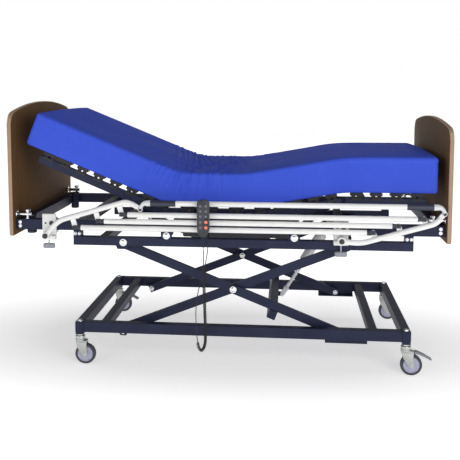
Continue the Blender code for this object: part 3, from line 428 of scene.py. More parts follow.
def tube(bm, points, radius, sides=20):
    """A round tube along a smooth run of points, its rings carried without twist."""
    points = [Vector(p) for p in points]
    one = bmesh.new()
    side = None
    loops = []
    for i, point in enumerate(points):
        along = (points[min(i + 1, len(points) - 1)] - points[max(i - 1, 0)]).normalized()
        if side is None:
            side = along.cross(Vector((0, 1, 0)))
            if side.length < 0.1:
                side = along.cross(Vector((1, 0, 0)))
        side = (side - along * side.dot(along)).normalized()
        other = along.cross(side)
        size = radius[i] if isinstance(radius, (list, tuple)) else radius
        loop = []
        for k in range(sides):
            angle = 2 * math.pi * k / sides
            spoke = math.cos(angle) * side + math.sin(angle) * other
            loop.append(one.verts.new(point + size * spoke))
        loops.append(loop)
    bridge(one, loops)
    one.faces.new(loops[0][::-1])
    one.faces.new(loops[-1])
    grow(bm, one)


def flat(bm, outline, y, radius=0.0015):
    """A plate from an outline in X and Z, between two Y values from the middle plane."""
    one = bmesh.new()
    face = one.faces.new([one.verts.new((x, y[0] + MID_Y, z)) for x, z in outline])
    moved = bmesh.ops.extrude_face_region(one, geom=[face])["geom"]
    bmesh.ops.translate(one, verts=[v for v in moved if isinstance(v, bmesh.types.BMVert)],
                        vec=(0.0, y[1] - y[0], 0.0))
    if radius:
        rim = [e for e in one.edges if abs(e.verts[0].co.y - e.verts[1].co.y) < 1e-7]
        bmesh.ops.bevel(one, geom=rim, offset=radius, segments=2, profile=0.5, affect="EDGES")
    grow(bm, one)


def bolt(bm, place, direction, radius=0.0085, height=0.006):
    """A hexagon head on a washer, seen from outside."""
    place, direction = Vector(place), Vector(direction).normalized()
    washer = [(radius * 1.45, 0.0), (radius * 1.5, 0.0004), (radius * 1.45, 0.0016)]
    lathe(bm, place, place + direction, washer, 24)
    head = [(radius, 0.001), (radius, height * 0.8), (radius * 0.86, height)]
    lathe(bm, place, place + direction, head, 6)


def cap_bolt(bm, place, direction, radius=0.010):
    """A domed bolt with a small socket on a washer."""
    place, direction = Vector(place), Vector(direction).normalized()
    lathe(bm, place, place + direction,
          [(radius * 1.35, 0.0), (radius * 1.38, 0.0008), (radius * 1.3, 0.0018), (radius, 0.0019),
           (radius * 0.97, 0.0035), (radius * 0.75, 0.0056), (radius * 0.42, 0.0064),
           (radius * 0.38, 0.0040), (radius * 0.05, 0.0038)], 28)


def put(piece, body, slot, *nodes):
    """Ride a finished piece on its body and stand it for its CAD nodes; slot is not used."""
    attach(piece, body)
    if nodes:
        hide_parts(*nodes)
    return piece


def turned(point, centre, angle):
    """A point in X and Z turned about a centre; a positive angle lifts what lies toward the foot."""
    x, z = point[0] - centre[0], point[1] - centre[1]
    c, s = math.cos(angle), math.sin(angle)
    return (centre[0] + c * x - s * z, centre[1] + s * x + c * z)


def turn_matrix(centre, angle):
    """The same turn as turned(), as a matrix about the Y line through the centre."""
    middle = Vector((centre[0], 0.0, centre[1]))
    return Matrix.Translation(middle) @ Matrix.Rotation(-angle, 4, "Y") @ Matrix.Translation(-middle)


def knee_point():
    """X and Z of the hinge between the thigh and leg sections."""
    return turned((THIGH_HINGE[0] + THIGH_LEN, THIGH_HINGE[1]), THIGH_HINGE, THIGH_TILT)


NAVY = coat_material("navy_powder_coat", (0.018, 0.021, 0.046), (0.025, 0.029, 0.060), 0.40)
WHITE = coat_material("off_white_coat", (0.72, 0.72, 0.71), (0.78, 0.78, 0.77), 0.34)
CHROME = metal_material("bright_zinc", (0.62, 0.63, 0.66), (0.75, 0.76, 0.79), 0.20)
ZINC = metal_material("zinc_plate", (0.40, 0.42, 0.40), (0.55, 0.57, 0.55), 0.34)
BLACK = plastic_material("black_plastic", (0.014, 0.015, 0.021), (0.024, 0.025, 0.033), 0.40)
GREY = plastic_material("grey_plastic", (0.20, 0.21, 0.245), (0.25, 0.26, 0.30), 0.42)
HUB = plastic_material("hub_plastic", (0.34, 0.34, 0.47), (0.42, 0.42, 0.55), 0.40)
RED = plastic_material("red_plastic", (0.70, 0.16, 0.11), (0.78, 0.21, 0.15), 0.35)
KEY = plastic_material("grey_key", (0.11, 0.115, 0.14), (0.15, 0.155, 0.18), 0.5)
RUBBER = rubber_material("black_rubber", (0.012, 0.012, 0.015), (0.022, 0.022, 0.026))
TYRE = rubber_material("grey_rubber", (0.030, 0.033, 0.042), (0.048, 0.052, 0.062), 0.6)
BOARD = laminate_material("brown_laminate", (0.080, 0.040, 0.013), (0.116, 0.061, 0.022), 0.66)
BAND = laminate_material("edge_band", (0.30, 0.20, 0.135), (0.38, 0.265, 0.185), 0.42)
BEECH = beech_material()
COVER = fabric_material("blue_cover", (0.040, 0.080, 0.53), (0.051, 0.095, 0.59))


# ---------------------------------------------------------------- handset cord

WIRE = 0.0020                       # radius of the cord's wire
COIL = 0.0075                       # outer radius of its curly stretch
TURN = 0.0052                       # length of coil taken by one turn
CORD_Y = -0.558                     # the handset's middle, where the cord leaves it


def smooth_route(knots, spacing):
    """Evenly spaced points on a Catmull-Rom curve through the knots."""
    knots = [Vector(k) for k in knots]
    padded = [knots[0] * 2 - knots[1], *knots, knots[-1] * 2 - knots[-2]]
    dense = []
    for a, b, c, d in zip(padded, padded[1:], padded[2:], padded[3:]):
        for i in range(24):
            t = i / 24
            dense.append(0.5 * (2 * b + (c - a) * t + (2 * a - 5 * b + 4 * c - d) * t * t
                                + (3 * b - a - 3 * c + d) * t ** 3))
    dense.append(knots[-1])
    total = sum((q - p).length for p, q in zip(dense, dense[1:]))
    count = max(2, round(total / spacing))
    route, walked, target = [dense[0]], 0.0, total / count
    for p, q in zip(dense, dense[1:]):
        step = (q - p).length
        while walked + step >= target * len(route) - 1e-9 and len(route) < count:
            route.append(p.lerp(q, (target * len(route) - walked) / step))
        walked += step
    route.append(dense[-1])
    return route


def ease(value):
    """0 below 0, 1 above 1, and a smooth step between them."""
    value = max(0.0, min(1.0, value))
    return value * value * (3.0 - 2.0 * value)


def helix(line):
    """Wind the wire round a centre line given as close, even points."""
    step = (line[1] - line[0]).length
    total = step * (len(line) - 1)
    turns = round(total / TURN)
    per_turn = 14
    sides = []
    side = None
    for i in range(len(line)):
        along = (line[min(i + 1, len(line) - 1)] - line[max(i - 1, 0)]).normalized()
        side = along.cross(Vector((0, 1, 0))) if side is None else side
        side = (side - along * side.dot(along)).normalized()
        sides.append((side.copy(), along.cross(side)))
    wound = []
    for k in range(turns * per_turn + 1):
        place = k / (turns * per_turn) * (len(line) - 1)
        i = min(int(place), len(line) - 2)
        part = place - i
        centre = line[i].lerp(line[i + 1], part)
        u = sides[i][0].lerp(sides[i + 1][0], part).normalized()
        v = sides[i][1].lerp(sides[i + 1][1], part).normalized()
        walked = place * step
        radius = (COIL - WIRE) * ease(walked / 0.010) * ease((total - walked) / 0.010)
        angle = 2 * math.pi * k / per_turn
        wound.append(centre + radius * (math.cos(angle) * u + math.sin(angle) * v))
    return wound


def cord_path():
    """The wire's middle line: down from the handset, curly to the J, and back up to the drive."""
    x, y = SET_X, CORD_Y
    top = smooth_route([at(x, y, SET_LOW - 0.0003), at(x + 0.001, y, 0.600), at(x, y, 0.5213)], 0.008)
    coil = smooth_route([at(x, y, 0.521), at(x + 0.003, y, 0.400), at(x + 0.008, y + 0.002, 0.230),
                         at(x + 0.006, y + 0.004, 0.155), at(x - 0.010, y + 0.006, 0.122),
                         at(x - 0.025, y + 0.008, 0.139), at(x - 0.028, y + 0.010, 0.163)], 0.003)
    lead = smooth_route([at(x - 0.028, y + 0.010, 0.1634), at(x - 0.033, y + 0.012, 0.200),
                         at(x - 0.037, y + 0.016, 0.300), at(x - 0.028, y + 0.026, 0.390),
                         at(x - 0.006, y + 0.042, 0.470), at(x + 0.010, y + 0.062, 0.560),
                         at(x + 0.014, y + 0.080, 0.615), at(x + 0.013, -0.440, 0.6402),
                         at(x + 0.006, -0.330, 0.6410), at(x, -0.180, 0.6450),
                         at(x, -0.0753, 0.6500)], 0.008)
    return top[:-1] + helix(coil) + lead[1:]


def make_cord_fittings():
    """The ribbed boot under the handset, the ferrule below it, and the gland on the drive."""
    x, y = SET_X, CORD_Y
    bm = bmesh.new()
    ribs = []
    for i in range(9):
        along = i * 0.0026
        size = 0.0046 - 0.0016 * i / 8
        ribs += [(size, along), (size, along + 0.0013), (size - 0.0008, along + 0.0015),
                 (size - 0.0008, along + 0.0024)]
    lathe(bm, at(x, y, SET_LOW - 0.0004), at(x, y, SET_LOW - 0.03), ribs, 20)
    boot = put(finish_object("cord_boot", bm, RUBBER), "upper_frame", "black_plastic")
    bm = bmesh.new()
    lathe(bm, at(x + 0.0007, y, 0.607), at(x + 0.0007, y, 0.595),
          [(0.0022, 0.0), (0.0034, 0.0008), (0.0036, 0.004), (0.0031, 0.0085), (0.0024, 0.012)], 20)
    ferrule = put(finish_object("cord_ferrule", bm, PALE), "upper_frame", "grey_plastic")
    bm = bmesh.new()
    lathe(bm, at(x, -0.0756, 0.650), at(x, -0.11, 0.6485),
          [(0.0075, 0.0), (0.0075, 0.004), (0.0050, 0.0045), (0.0045, 0.012), (0.0030, 0.024)], 20)
    gland = put(finish_object("cord_gland", bm, RUBBER), "upper_frame", "black_plastic")
    return [boot, ferrule, gland]


def make_cord():
    path = cord_path()
    bm = bmesh.new()
    tube(bm, path, WIRE, 8)
    cord = finish_object("handset_cord", bm, RUBBER, 60.0)
    put(cord, "upper_frame", "black_plastic", "cord_lead_top", "cord_curly", "cord_lead_drive")
    boot, ferrule, gland = make_cord_fittings()


# ---------------------------------------------------------------- handset

def handset_outline(half, low, high, crown, steps=24):
    """Front view of the handset: a rounded top and a tapered lower end."""
    points = []
    for i in range(steps + 1):
        turn = math.pi * i / steps
        points.append((SET_X + half * math.cos(turn), high - crown + crown * math.sin(turn)))
    taper = [(half, 0.040), (half - 0.0015, 0.027), (0.021, 0.012), (0.014, 0.003), (0.008, 0.0)]
    points += [(SET_X - dx, low + dz) for dx, dz in taper]
    points += [(SET_X + dx, low + dz) for dx, dz in reversed(taper)]
    return points


KEY_X = 0.0125                      # key columns, off the handset's middle
KEY_Z, KEY_PITCH = 0.797, 0.0235    # the top row of grey keys and the spacing of the rows
RED_KEYS = (("upper", 0.724), ("lower", 0.699))
KEY_DOME = [(0.0056, 0.0), (0.0058, 0.0004), (0.0054, 0.0009), (0.0040, 0.0013), (0.0022, 0.0015),
            (0.0004, 0.0015)]
RED_DOME = [(0.0078, 0.0), (0.0080, 0.0008), (0.0078, 0.0022), (0.0066, 0.0029), (0.0040, 0.0026),
            (0.0006, 0.0022)]


def key_wells():
    """The round wells that the red keys travel in."""
    bm = bmesh.new()
    for _, z in RED_KEYS:
        mouth, floor = at(SET_X + KEY_X, SET_FRONT - 0.004, z), at(SET_X + KEY_X, SET_FRONT + 0.0042, z)
        rod(bm, mouth, floor, 0.0086, 40, 0.0)
    return bm


def carve(target, bm):
    """Cut a solid out of an object."""
    cutter = finish_object("cutter", bm, BLACK)
    change = target.modifiers.new("carve", "BOOLEAN")
    change.operation = "DIFFERENCE"
    change.object = cutter
    whole = target.data
    view = bpy.context.evaluated_depsgraph_get()
    target.data = bpy.data.meshes.new_from_object(target.evaluated_get(view))
    target.modifiers.clear()
    bpy.data.meshes.remove(whole)
    bpy.data.objects.remove(cutter)


def make_handset_case():
    """Front and back shells with a seam between them, and the face plate round the keys."""
    bm = bmesh.new()
    middle = SET_FRONT + 0.0145
    front = handset_outline(0.0285, SET_LOW, SET_HIGH, 0.020)
    back = handset_outline(0.0278, SET_LOW + 0.001, SET_HIGH - 0.001, 0.0195)
    seam = handset_outline(0.0268, SET_LOW + 0.002, SET_HIGH - 0.002, 0.0188)
    flat(bm, front, (SET_FRONT + 0.0006, middle), 0.0045)
    flat(bm, back, (middle + 0.0006, SET_BACK), 0.0040)
    flat(bm, seam, (middle - 0.002, middle + 0.002), 0.0)
    shell = finish_object("handset_shell", bm, BLACK)
    carve(shell, key_wells())
    put(shell, "upper_frame", "black_plastic", "handset")
    bm = bmesh.new()
    flat(bm, handset_outline(0.0238, SET_LOW + 0.024, SET_HIGH - 0.0055, 0.016),
         (SET_FRONT + 0.0001, SET_FRONT + 0.0012), 0.0004)
    face_plate = finish_object("handset_face", bm, FACE)
    carve(face_plate, key_wells())
    put(face_plate, "upper_frame", "black_plastic")


def make_keys():
    """Grey keys with blank marks between them, and the two red keys."""
    bm = bmesh.new()
    face = SET_FRONT + 0.0002
    for row in range(3):
        for column in (-1, 1):
            spot = at(SET_X + column * KEY_X, face, KEY_Z - row * KEY_PITCH)
            lathe(bm, spot, spot + TOWARD, KEY_DOME, 24)
    for _, z in reversed(RED_KEYS):
        spot = at(SET_X - KEY_X, face, z)
        lathe(bm, spot, spot + TOWARD, KEY_DOME, 24)
    put(finish_object("handset_keys", bm, KEY), "upper_frame", "grey_plastic")
    bm = bmesh.new()
    for row in range(3):
        z = KEY_Z - row * KEY_PITCH
        for lift in (-0.0045, 0.0045):
            box(bm, (SET_X - 0.003, SET_X + 0.003), (face - 0.0007, face),
                (z + lift - 0.0006, z + lift + 0.0006), 0.0002, 1)
    put(finish_object("handset_marks", bm, KEY), "upper_frame", "grey_plastic")
    for name, z in RED_KEYS:
        bm = bmesh.new()
        spot = at(SET_X + KEY_X, SET_FRONT + 0.0015, z)
        lathe(bm, spot, spot + TOWARD, RED_DOME, 28)
        key = finish_object(f"red_key_{name}", bm, RED)
        put(key, f"button_{name}", "red_plastic", f"button_{name}")


def make_handset():
    make_handset_case()
    make_keys()
    bm = bmesh.new()
    depth = (SET_BACK - 0.0005, SET_BACK + 0.0016)
    box(bm, (SET_X - 0.0065, SET_X + 0.0065), depth, (0.770, 0.806), 0.0006)
    put(finish_object("handset_hook", bm, BLACK), "upper_frame", "black_plastic")


# ---------------------------------------------------------------- casters

def make_caster(end, side, x, y):
    name = f"{end}_{side}"
    axle = (x + 0.025, y, 0.050)
    make_wheel(name, axle)
    make_fork(name, x, y, axle)


def make_wheel(name, axle):
    """Grey tyre, and a hub with six ribs on each face."""
    x, y, z = axle
    near, far = at(x, y - 0.013, z), at(x, y + 0.013, z)
    bm = bmesh.new()
    tread = [(0.0372, -0.0001), (0.0386, 0.0), (0.0440, 0.0001), (0.0478, 0.0012), (0.0495, 0.0040),
             (0.0500, 0.0080), (0.0500, 0.0180), (0.0495, 0.0220), (0.0478, 0.0248), (0.0440, 0.0259),
             (0.0386, 0.0260), (0.0372, 0.0261)]
    ring(bm, near, far, tread, 56)
    put(finish_object(f"tyre_{name}", bm, TYRE), f"wheel_{name}", "grey_rubber", f"caster_wheel_{name}")
    bm = bmesh.new()
    hub = [(0.0100, -0.0014), (0.0135, -0.0014), (0.0148, 0.0004), (0.0155, 0.0034), (0.0320, 0.0042),
           (0.0345, 0.0018), (0.0374, 0.0010), (0.0376, 0.0250), (0.0345, 0.0242), (0.0320, 0.0218),
           (0.0155, 0.0226), (0.0148, 0.0256), (0.0135, 0.0274), (0.0100, 0.0274)]
    lathe(bm, near, far, hub, 48)
    for k in range(6):
        turn = (Matrix.Translation(at(*axle)) @ Matrix.Rotation(math.pi / 3 * k, 4, "Y")
                @ Matrix.Translation(-at(*axle)))
        for face in (y - 0.0098, y + 0.0072):
            box(bm, (x + 0.0148, x + 0.0325), (face, face + 0.0026),
                (z - 0.0018, z + 0.0018), 0.0007, 1, turn)
    put(finish_object(f"hub_{name}", bm, HUB), f"wheel_{name}", "grey_plastic")


def make_fork(name, x, y, axle):
    """Two cheeks and their axle nuts, the bridge over the wheel, and the swivel head."""
    bm = bmesh.new()
    cheek = [(x - 0.0195, 0.1120), (x - 0.0175, 0.0980), (x - 0.0120, 0.0810), (axle[0] - 0.0140, 0.0440),
             (axle[0] - 0.0090, 0.0385), (axle[0], 0.0365), (axle[0] + 0.0090, 0.0385),
             (axle[0] + 0.0135, 0.0450), (x + 0.0330, 0.0830), (x + 0.0338, 0.1120)]
    for sign in (NEAR, FAR):
        span = sorted((y + sign * 0.0152, y + sign * 0.0188))
        flat(bm, cheek, span, 0.0012)
        outer = at(axle[0], y + sign * 0.0188, axle[2])
        bolt(bm, outer, (0, sign, 0), 0.0068, 0.0030)
    box(bm, (x - 0.0195, x + 0.0338), (y - 0.0188, y + 0.0188), (0.1060, 0.1175), 0.0030, 3)
    base = at(x, y, 0.112)
    head = [(0.0235, 0.0), (0.0238, 0.0070), (0.0238, 0.0110), (0.0220, 0.0118), (0.0216, 0.0150),
            (0.0232, 0.0158), (0.0236, 0.0250), (0.0228, 0.0268), (0.0160, 0.0285), (0.0150, 0.0356)]
    lathe(bm, base, base + UP, head, 40)
    put(finish_object(f"fork_{name}", bm, ZINC), f"fork_{name}", "zinc_plate", f"caster_fork_{name}")


def make_casters():
    """Four casters, and brake pedals on two of them."""
    for end, x in (("head", CASTER_HEAD), ("foot", CASTER_FOOT)):
        for side, sign in (("near", NEAR), ("far", FAR)):
            make_caster(end, side, x, sign * CORNER_Y)
    for name, x, sign in (("head_far", CASTER_HEAD, FAR), ("foot_near", CASTER_FOOT, NEAR)):
        bm = bmesh.new()
        y = sign * CORNER_Y
        outline = [(x + 0.0370, 0.1045), (x + 0.0560, 0.1020), (x + 0.0860, 0.0890), (x + 0.1130, 0.0750),
                   (x + 0.1165, 0.0800), (x + 0.0860, 0.0985), (x + 0.0560, 0.1125), (x + 0.0375, 0.1165)]
        flat(bm, outline, (y - 0.0165, y + 0.0165), 0.0015)
        for i in range(5):
            spot = (x + 0.074 + i * 0.008, 0.1010 - i * 0.0046)
            box(bm, (spot[0] - 0.0015, spot[0] + 0.0015), (y - 0.0135, y + 0.0135),
                (spot[1] + 0.0005, spot[1] + 0.0030), 0.0008, 1)
        pedal = finish_object(f"pedal_{name}", bm, GREY)
        put(pedal, f"pedal_{name}", "grey_plastic", f"brake_pedal_{name}")


# ---------------------------------------------------------------- boards

def board_outline(corner, crown, inset=0.0, steps=64):
    """Y and Z round a board: straight foot and sides, arched top with rounded shoulders."""
    half, low, shoulder = 0.495 - inset, 0.628 + inset, 0.055
    points = [(-half, low + 0.012), (-half + 0.0035, low + 0.0035), (-half + 0.012, low),
              (half - 0.012, low), (half - 0.0035, low + 0.0035), (half, low + 0.012)]
    for i in range(steps + 1):
        y = half - 2 * half * i / steps
        edge = max(0.0, (abs(y) - (half - shoulder)) / shoulder)
        arch = corner + (crown - corner) * (1.0 - (y / half) ** 2)
        points.append((y, arch - inset - 0.045 * (1.0 - math.sqrt(max(0.0, 1.0 - edge * edge)))))
    return points


def make_board(name, node_name, corner, crown, inner, outer):
    """A laminate panel whose lighter edge band runs all round and stands a touch proud at eased corners."""
    bm = bmesh.new()
    ease_in = 0.0028
    low, high = sorted((inner, outer))
    rows = [(low, ease_in), (low + 0.0008, 0.0011), (low + ease_in, 0.0), (high - ease_in, 0.0),
            (high - 0.0008, 0.0011), (high, ease_in)]
    loops = []
    for x, inset in rows:
        loops.append([bm.verts.new(at(x, y, z)) for y, z in board_outline(corner, crown, inset)])
    for face in bridge(bm, loops):
        face.material_index = 1
    bm.faces.new(loops[0])
    bm.faces.new(loops[-1][::-1])
    put(finish_object(name, bm, (BOARD, BAND), 25.0), "upper_frame", "brown_laminate", node_name)


def make_boards():
    make_board("head_board_panel", "headboard", 1.205, 1.255, -1.000, -1.019)
    make_board("foot_board_panel", "footboard", 1.140, 1.183, 1.000, 1.019)
    bm = bmesh.new()
    dark = bmesh.new()
    for side in (-1, 1):
        inner = side * 1.000
        for sign in (NEAR, FAR):
            y = sign * CORNER_Y
            rod(bm, at(inner - side * 0.0002, y, 0.7260), at(inner - side * 0.070, y, 0.7260), 0.0085, 28)
            lathe(bm, at(inner - side * 0.0001, y, 0.7260), at(inner - side * 0.01, y, 0.7260),
                  [(0.0170, 0.0), (0.0175, 0.0012), (0.0165, 0.0030), (0.0120, 0.0034)], 32)
            stem = at(inner - side * 0.052, y, 0.7052)
            lathe(bm, stem, stem + UP,
                  [(0.0130, 0.0), (0.0130, 0.0030), (0.0075, 0.0036), (0.0075, 0.0330), (0.0125, 0.0345),
                   (0.0135, 0.0370), (0.0135, 0.0430), (0.0110, 0.0455), (0.0020, 0.0462)], 32)
            for lift in (0.690, 0.672):
                bolt(dark, at(inner - side * 0.022, sign * SIDE_FACE, lift), (0, sign, 0), 0.0055, 0.0036)
    put(finish_object("board_locks", bm, CHROME), "upper_frame", "zinc_plate")
    put(finish_object("board_bolts", dark, CAPS), "upper_frame", "zinc_plate")
    bm = bmesh.new()
    for sign in (NEAR, FAR):
        spot = at(-0.9444, sign * 0.385, 0.712)
        ring(bm, spot, spot + UP,
             [(0.0172, -0.020), (0.0172, 0.0060), (0.0180, 0.0068), (0.0245, 0.0066), (0.0252, 0.0055),
              (0.0250, 0.0003), (0.0222, 0.0002), (0.0170, -0.0002)], 36)
        foot = at(-0.9444, sign * 0.385, 0.6398)
        lathe(bm, foot, foot - UP, [(0.0225, 0.0), (0.0230, 0.0010), (0.0225, 0.0100),
                                                   (0.0190, 0.0125), (0.0020, 0.0128)], 32)
    put(finish_object("pole_sockets", bm, BLACK), "upper_frame", "black_plastic")


# ---------------------------------------------------------------- sleeping surface

def section_frame(name):
    """Hinge point, direction along the deck and tilt of one deck section."""
    knee = knee_point()
    return {
        "back": (BACK_HINGE, -1, BACK_TILT, 0.012, 0.690, 8, "back_section"),
        "seat": (BACK_HINGE, 1, 0.0, 0.012, THIGH_HINGE[0] - BACK_HINGE[0] - 0.012, 3, "upper_frame"),
        "thigh": (THIGH_HINGE, 1, THIGH_TILT, 0.012, THIGH_LEN - 0.014, 5, "thigh_section"),
        "leg": (knee, 1, 0.0, 0.014, 0.375, 4, "leg_section"),
    }[name]


def make_deck(name):
    hinge, side, tilt, start, length, slats, body = section_frame(name)
    up = hinge[1] + 0.010                     # top of the slats
    low = up - 0.025
    turn = turn_matrix(hinge, side * tilt)
    depth = 0.0418 if name == "seat" else 0.040
    steel, timber, rubber = bmesh.new(), bmesh.new(), bmesh.new()

    def span(a, b):
        return tuple(sorted((hinge[0] + side * a, hinge[0] + side * b)))

    for sign in (NEAR, FAR):
        y = sorted((sign * 0.410, sign * 0.430))
        box(steel, span(start, length), y, (low - depth, low), 0.0035, 3, turn)
        for along in (start + 0.0006, length - 0.0026):
            box(rubber, span(along, along + 0.002), (y[0] - 0.0002, y[1] + 0.0002),
                (low - depth - 0.0002, low + 0.0002), 0.0008, 1, turn)
    for along in (start + 0.060, length - 0.045):
        box(steel, span(along, along + 0.025), (-0.412, 0.412), (low - 0.015, low + 0.010), 0.0035, 3, turn)
    pitch = (length - start) / slats
    for i in range(slats):
        middle = start + pitch * (i + 0.5)
        slat(timber, hinge[0] + side * middle, 0.0258, up, turn)
        for sign in (NEAR, FAR):
            holder(rubber, hinge[0] + side * middle, sign, low, up, turn)
    if name in ("back", "thigh"):
        add_cams(steel, name)
    put(finish_object(f"{name}_rails", steel, NAVY), body, "navy_powder_coat", f"deck_{name}")
    put(finish_object(f"{name}_slats", timber, BEECH), body, "brown_laminate")
    put(finish_object(f"{name}_holders", rubber, RUBBER), body, "black_plastic")


def slat(bm, x, half, up, turn):
    """A sprung slat: a thin board with a slight upward bow and eased edges."""
    one = bmesh.new()
    rows = 28
    section = [(-half, 0.0030), (-half, -0.0030), (-half + 0.0016, -0.0046), (half - 0.0016, -0.0046),
               (half, -0.0030), (half, 0.0030), (half - 0.0016, 0.0042), (-half + 0.0016, 0.0042)]
    loops = []
    for i in range(rows + 1):
        y = -0.4275 + 0.855 * i / rows
        bow = -0.0010 + 0.0012 * math.cos(math.pi * y / 0.855)
        loops.append([one.verts.new(at(x + dx, y, up - 0.0052 + bow + dz)) for dx, dz in section])
    bridge(one, loops)
    one.faces.new(loops[0])
    one.faces.new(loops[-1][::-1])
    bmesh.ops.transform(one, matrix=turn, verts=one.verts)
    grow(bm, one)


def holder(bm, x, sign, low, up, turn):
    """A rubber block that clips on the rail and grips a slat's end between two lips."""
    y = sorted((sign * 0.4125, sign * 0.4285))
    for dx in (-0.0135, 0.0135):
        box(bm, (x + dx - 0.0085, x + dx + 0.0085), y, (low - 0.0015, up - 0.0105), 0.0030, 2, turn)
    outer = sorted((sign * 0.4283, sign * 0.4325))
    box(bm, (x - 0.0275, x + 0.0275), outer, (up - 0.0150, up - 0.0012), 0.0018, 2, turn)
    inner = sorted((sign * 0.380, sign * 0.4285))
    box(bm, (x - 0.0275, x + 0.0275), inner, (up - 0.0155, up - 0.0104), 0.0020, 2, turn)
    box(bm, (x - 0.0245, x + 0.0245), sorted((sign * 0.4325, sign * 0.4335)), (low - 0.0110, low + 0.0005),
        0.0004, 1, turn)


def cam_edges(name):
    """The curved strip that a lever's roller follows, as the section's own edge lines."""
    back = name == "back"
    hinge = BACK_HINGE if back else THIGH_HINGE
    pivot = (LEVER_SHAFTS[0] if back else LEVER_SHAFTS[1], LEVER_Z)
    side = -1 if back else 1
    reach, rest, ratio = (0.240, math.radians(38.8), 0.88) if back else (0.200, math.radians(40.0), 2.0)
    tilt, top = (BACK_TILT, math.radians(60.0)) if back else (THIGH_TILT, math.radians(28.0))
    path = []
    steps = 32
    for i in range(steps + 1):
        swing = -tilt + top * i / steps
        angle = rest + ratio * swing
        centre = (pivot[0] + side * reach * math.cos(angle), pivot[1] + reach * math.sin(angle))
        path.append(turned(centre, hinge, -side * swing))
    path.sort(key=lambda p: side * p[0])
    low, high = [], []
    for i, (x, z) in enumerate(path):
        a, b = path[max(i - 1, 0)], path[min(i + 1, steps)]
        run = math.hypot(b[0] - a[0], b[1] - a[1])
        nx, nz = -side * (b[1] - a[1]) / run, side * (b[0] - a[0]) / run
        low.append((x + nx * 0.019, z + nz * 0.019))
        high.append((x + nx * 0.025, z + nz * 0.025))
    return low, high, hinge, side, tilt


def add_cams(bm, name):
    low, high, hinge, side, tilt = cam_edges(name)
    turn = turn_matrix(hinge, side * tilt)
    for sign in (NEAR, FAR):
        y = sorted((sign * 0.3215, sign * 0.3325))
        flat(bm, low + high[::-1], y, 0.0)
        for spot in (high[2], high[-3]):
            x, z = turned(spot, hinge, -side * tilt)
            box(bm, (x - 0.0075, x + 0.0075), y, (z - 0.003, hinge[1] + 0.003), 0.0015, 1, turn)


# ---------------------------------------------------------------- mattress

HALF_THICK = 0.0775
HALF_WIDE = 0.4490
CORNER = 0.013
HEAD_RUN, FOOT_RUN = 0.7520, 0.4250
MID_LEVEL = DECK_Z + HALF_THICK
BACK_BEND, THIGH_BEND, KNEE_BEND = -0.1553, 0.1648, 0.6048       # arc positions of the bends
BENDS = ((BACK_BEND, BACK_TILT, 0.115), (THIGH_BEND, THIGH_TILT, 0.085), (KNEE_BEND, -THIGH_TILT, 0.085))
HEAD_END, FOOT_END = BACK_BEND - HEAD_RUN, KNEE_BEND + FOOT_RUN
SEAT_X = -0.0625                    # where arc position zero lies


def soft_step(value):
    """An S-shaped step from 0 to 1 whose slope is bell-shaped; value runs from -1 to 1."""
    value = np.clip(value, -1.0, 1.0)
    return 0.5 + 0.75 * value - 0.25 * value ** 3


def bend_line():
    """The mattress's mid line as arrays: arc position, x, z and the slope angle there."""
    s = np.linspace(HEAD_END - 0.01, FOOT_END + 0.01, 4001)
    slope = np.full_like(s, -BACK_TILT)
    for centre, change, half in BENDS:
        slope += change * soft_step((s - centre) / half)
    step = s[1] - s[0]
    x = np.concatenate(([0.0], np.cumsum(np.cos((slope[1:] + slope[:-1]) / 2) * step)))
    z = np.concatenate(([0.0], np.cumsum(np.sin((slope[1:] + slope[:-1]) / 2) * step)))
    seat = int(np.argmin(np.abs(s - 0.0)))
    x += SEAT_X - x[seat]
    z += MID_LEVEL - z[seat]
    return s, x, z, slope


def grid_lines():
    """Positions of the mesh lines along, across and through the mattress, closest where it creases."""
    coarse, close = 0.0085, 0.0035
    along = [HEAD_END]
    while along[-1] < FOOT_END - close:
        here = along[-1]
        step = coarse
        for centre, reach, fine in ((-0.10, 0.30, 0.0036), (0.40, 0.16, 0.0050)):
            near = max(0.0, 1.0 - abs(here - centre) / reach)
            step = min(step, coarse + (fine - coarse) * min(1.0, 2.2 * near))
        if here < HEAD_END + 0.024 or here > FOOT_END - 0.026:
            step = close
        along.append(min(here + step, FOOT_END))
    along[-1] = FOOT_END
    edge = [0.0, 0.0018, 0.0038, 0.0062, 0.0092, 0.0130, 0.0200]
    inner = np.linspace(0.032, HALF_WIDE, 40)
    half = [HALF_WIDE - e for e in edge] + [HALF_WIDE - e for e in inner[:-1]]
    across = sorted([-v for v in half] + [0.0] + half)
    rise = [HALF_THICK - e for e in edge] + [0.043, 0.028, 0.014]
    through = sorted([-v for v in rise] + [0.0] + rise)
    return np.array(along), np.array(across), np.array(through)


def box_shell(along, across, through):
    """The closed surface of a grid box as vertex coordinates and quads."""
    counts = (len(along), len(across), len(through))
    index, coordinates, faces = {}, [], []

    def vertex(i, j, k):
        key = (i, j, k)
        if key not in index:
            index[key] = len(coordinates)
            coordinates.append((along[i], across[j], through[k]))
        return index[key]

    for axis in range(3):
        u, v = [a for a in range(3) if a != axis]
        for level in (0, counts[axis] - 1):
            for a in range(counts[u] - 1):
                for b in range(counts[v] - 1):
                    corners = []
                    for da, db in ((0, 0), (1, 0), (1, 1), (0, 1)):
                        key = [0, 0, 0]
                        key[axis], key[u], key[v] = level, a + da, b + db
                        corners.append(vertex(*key))
                    flip = (level == 0) != (axis == 1)
                    faces.append(tuple(corners[::-1] if flip else corners))
    return np.array(coordinates), faces


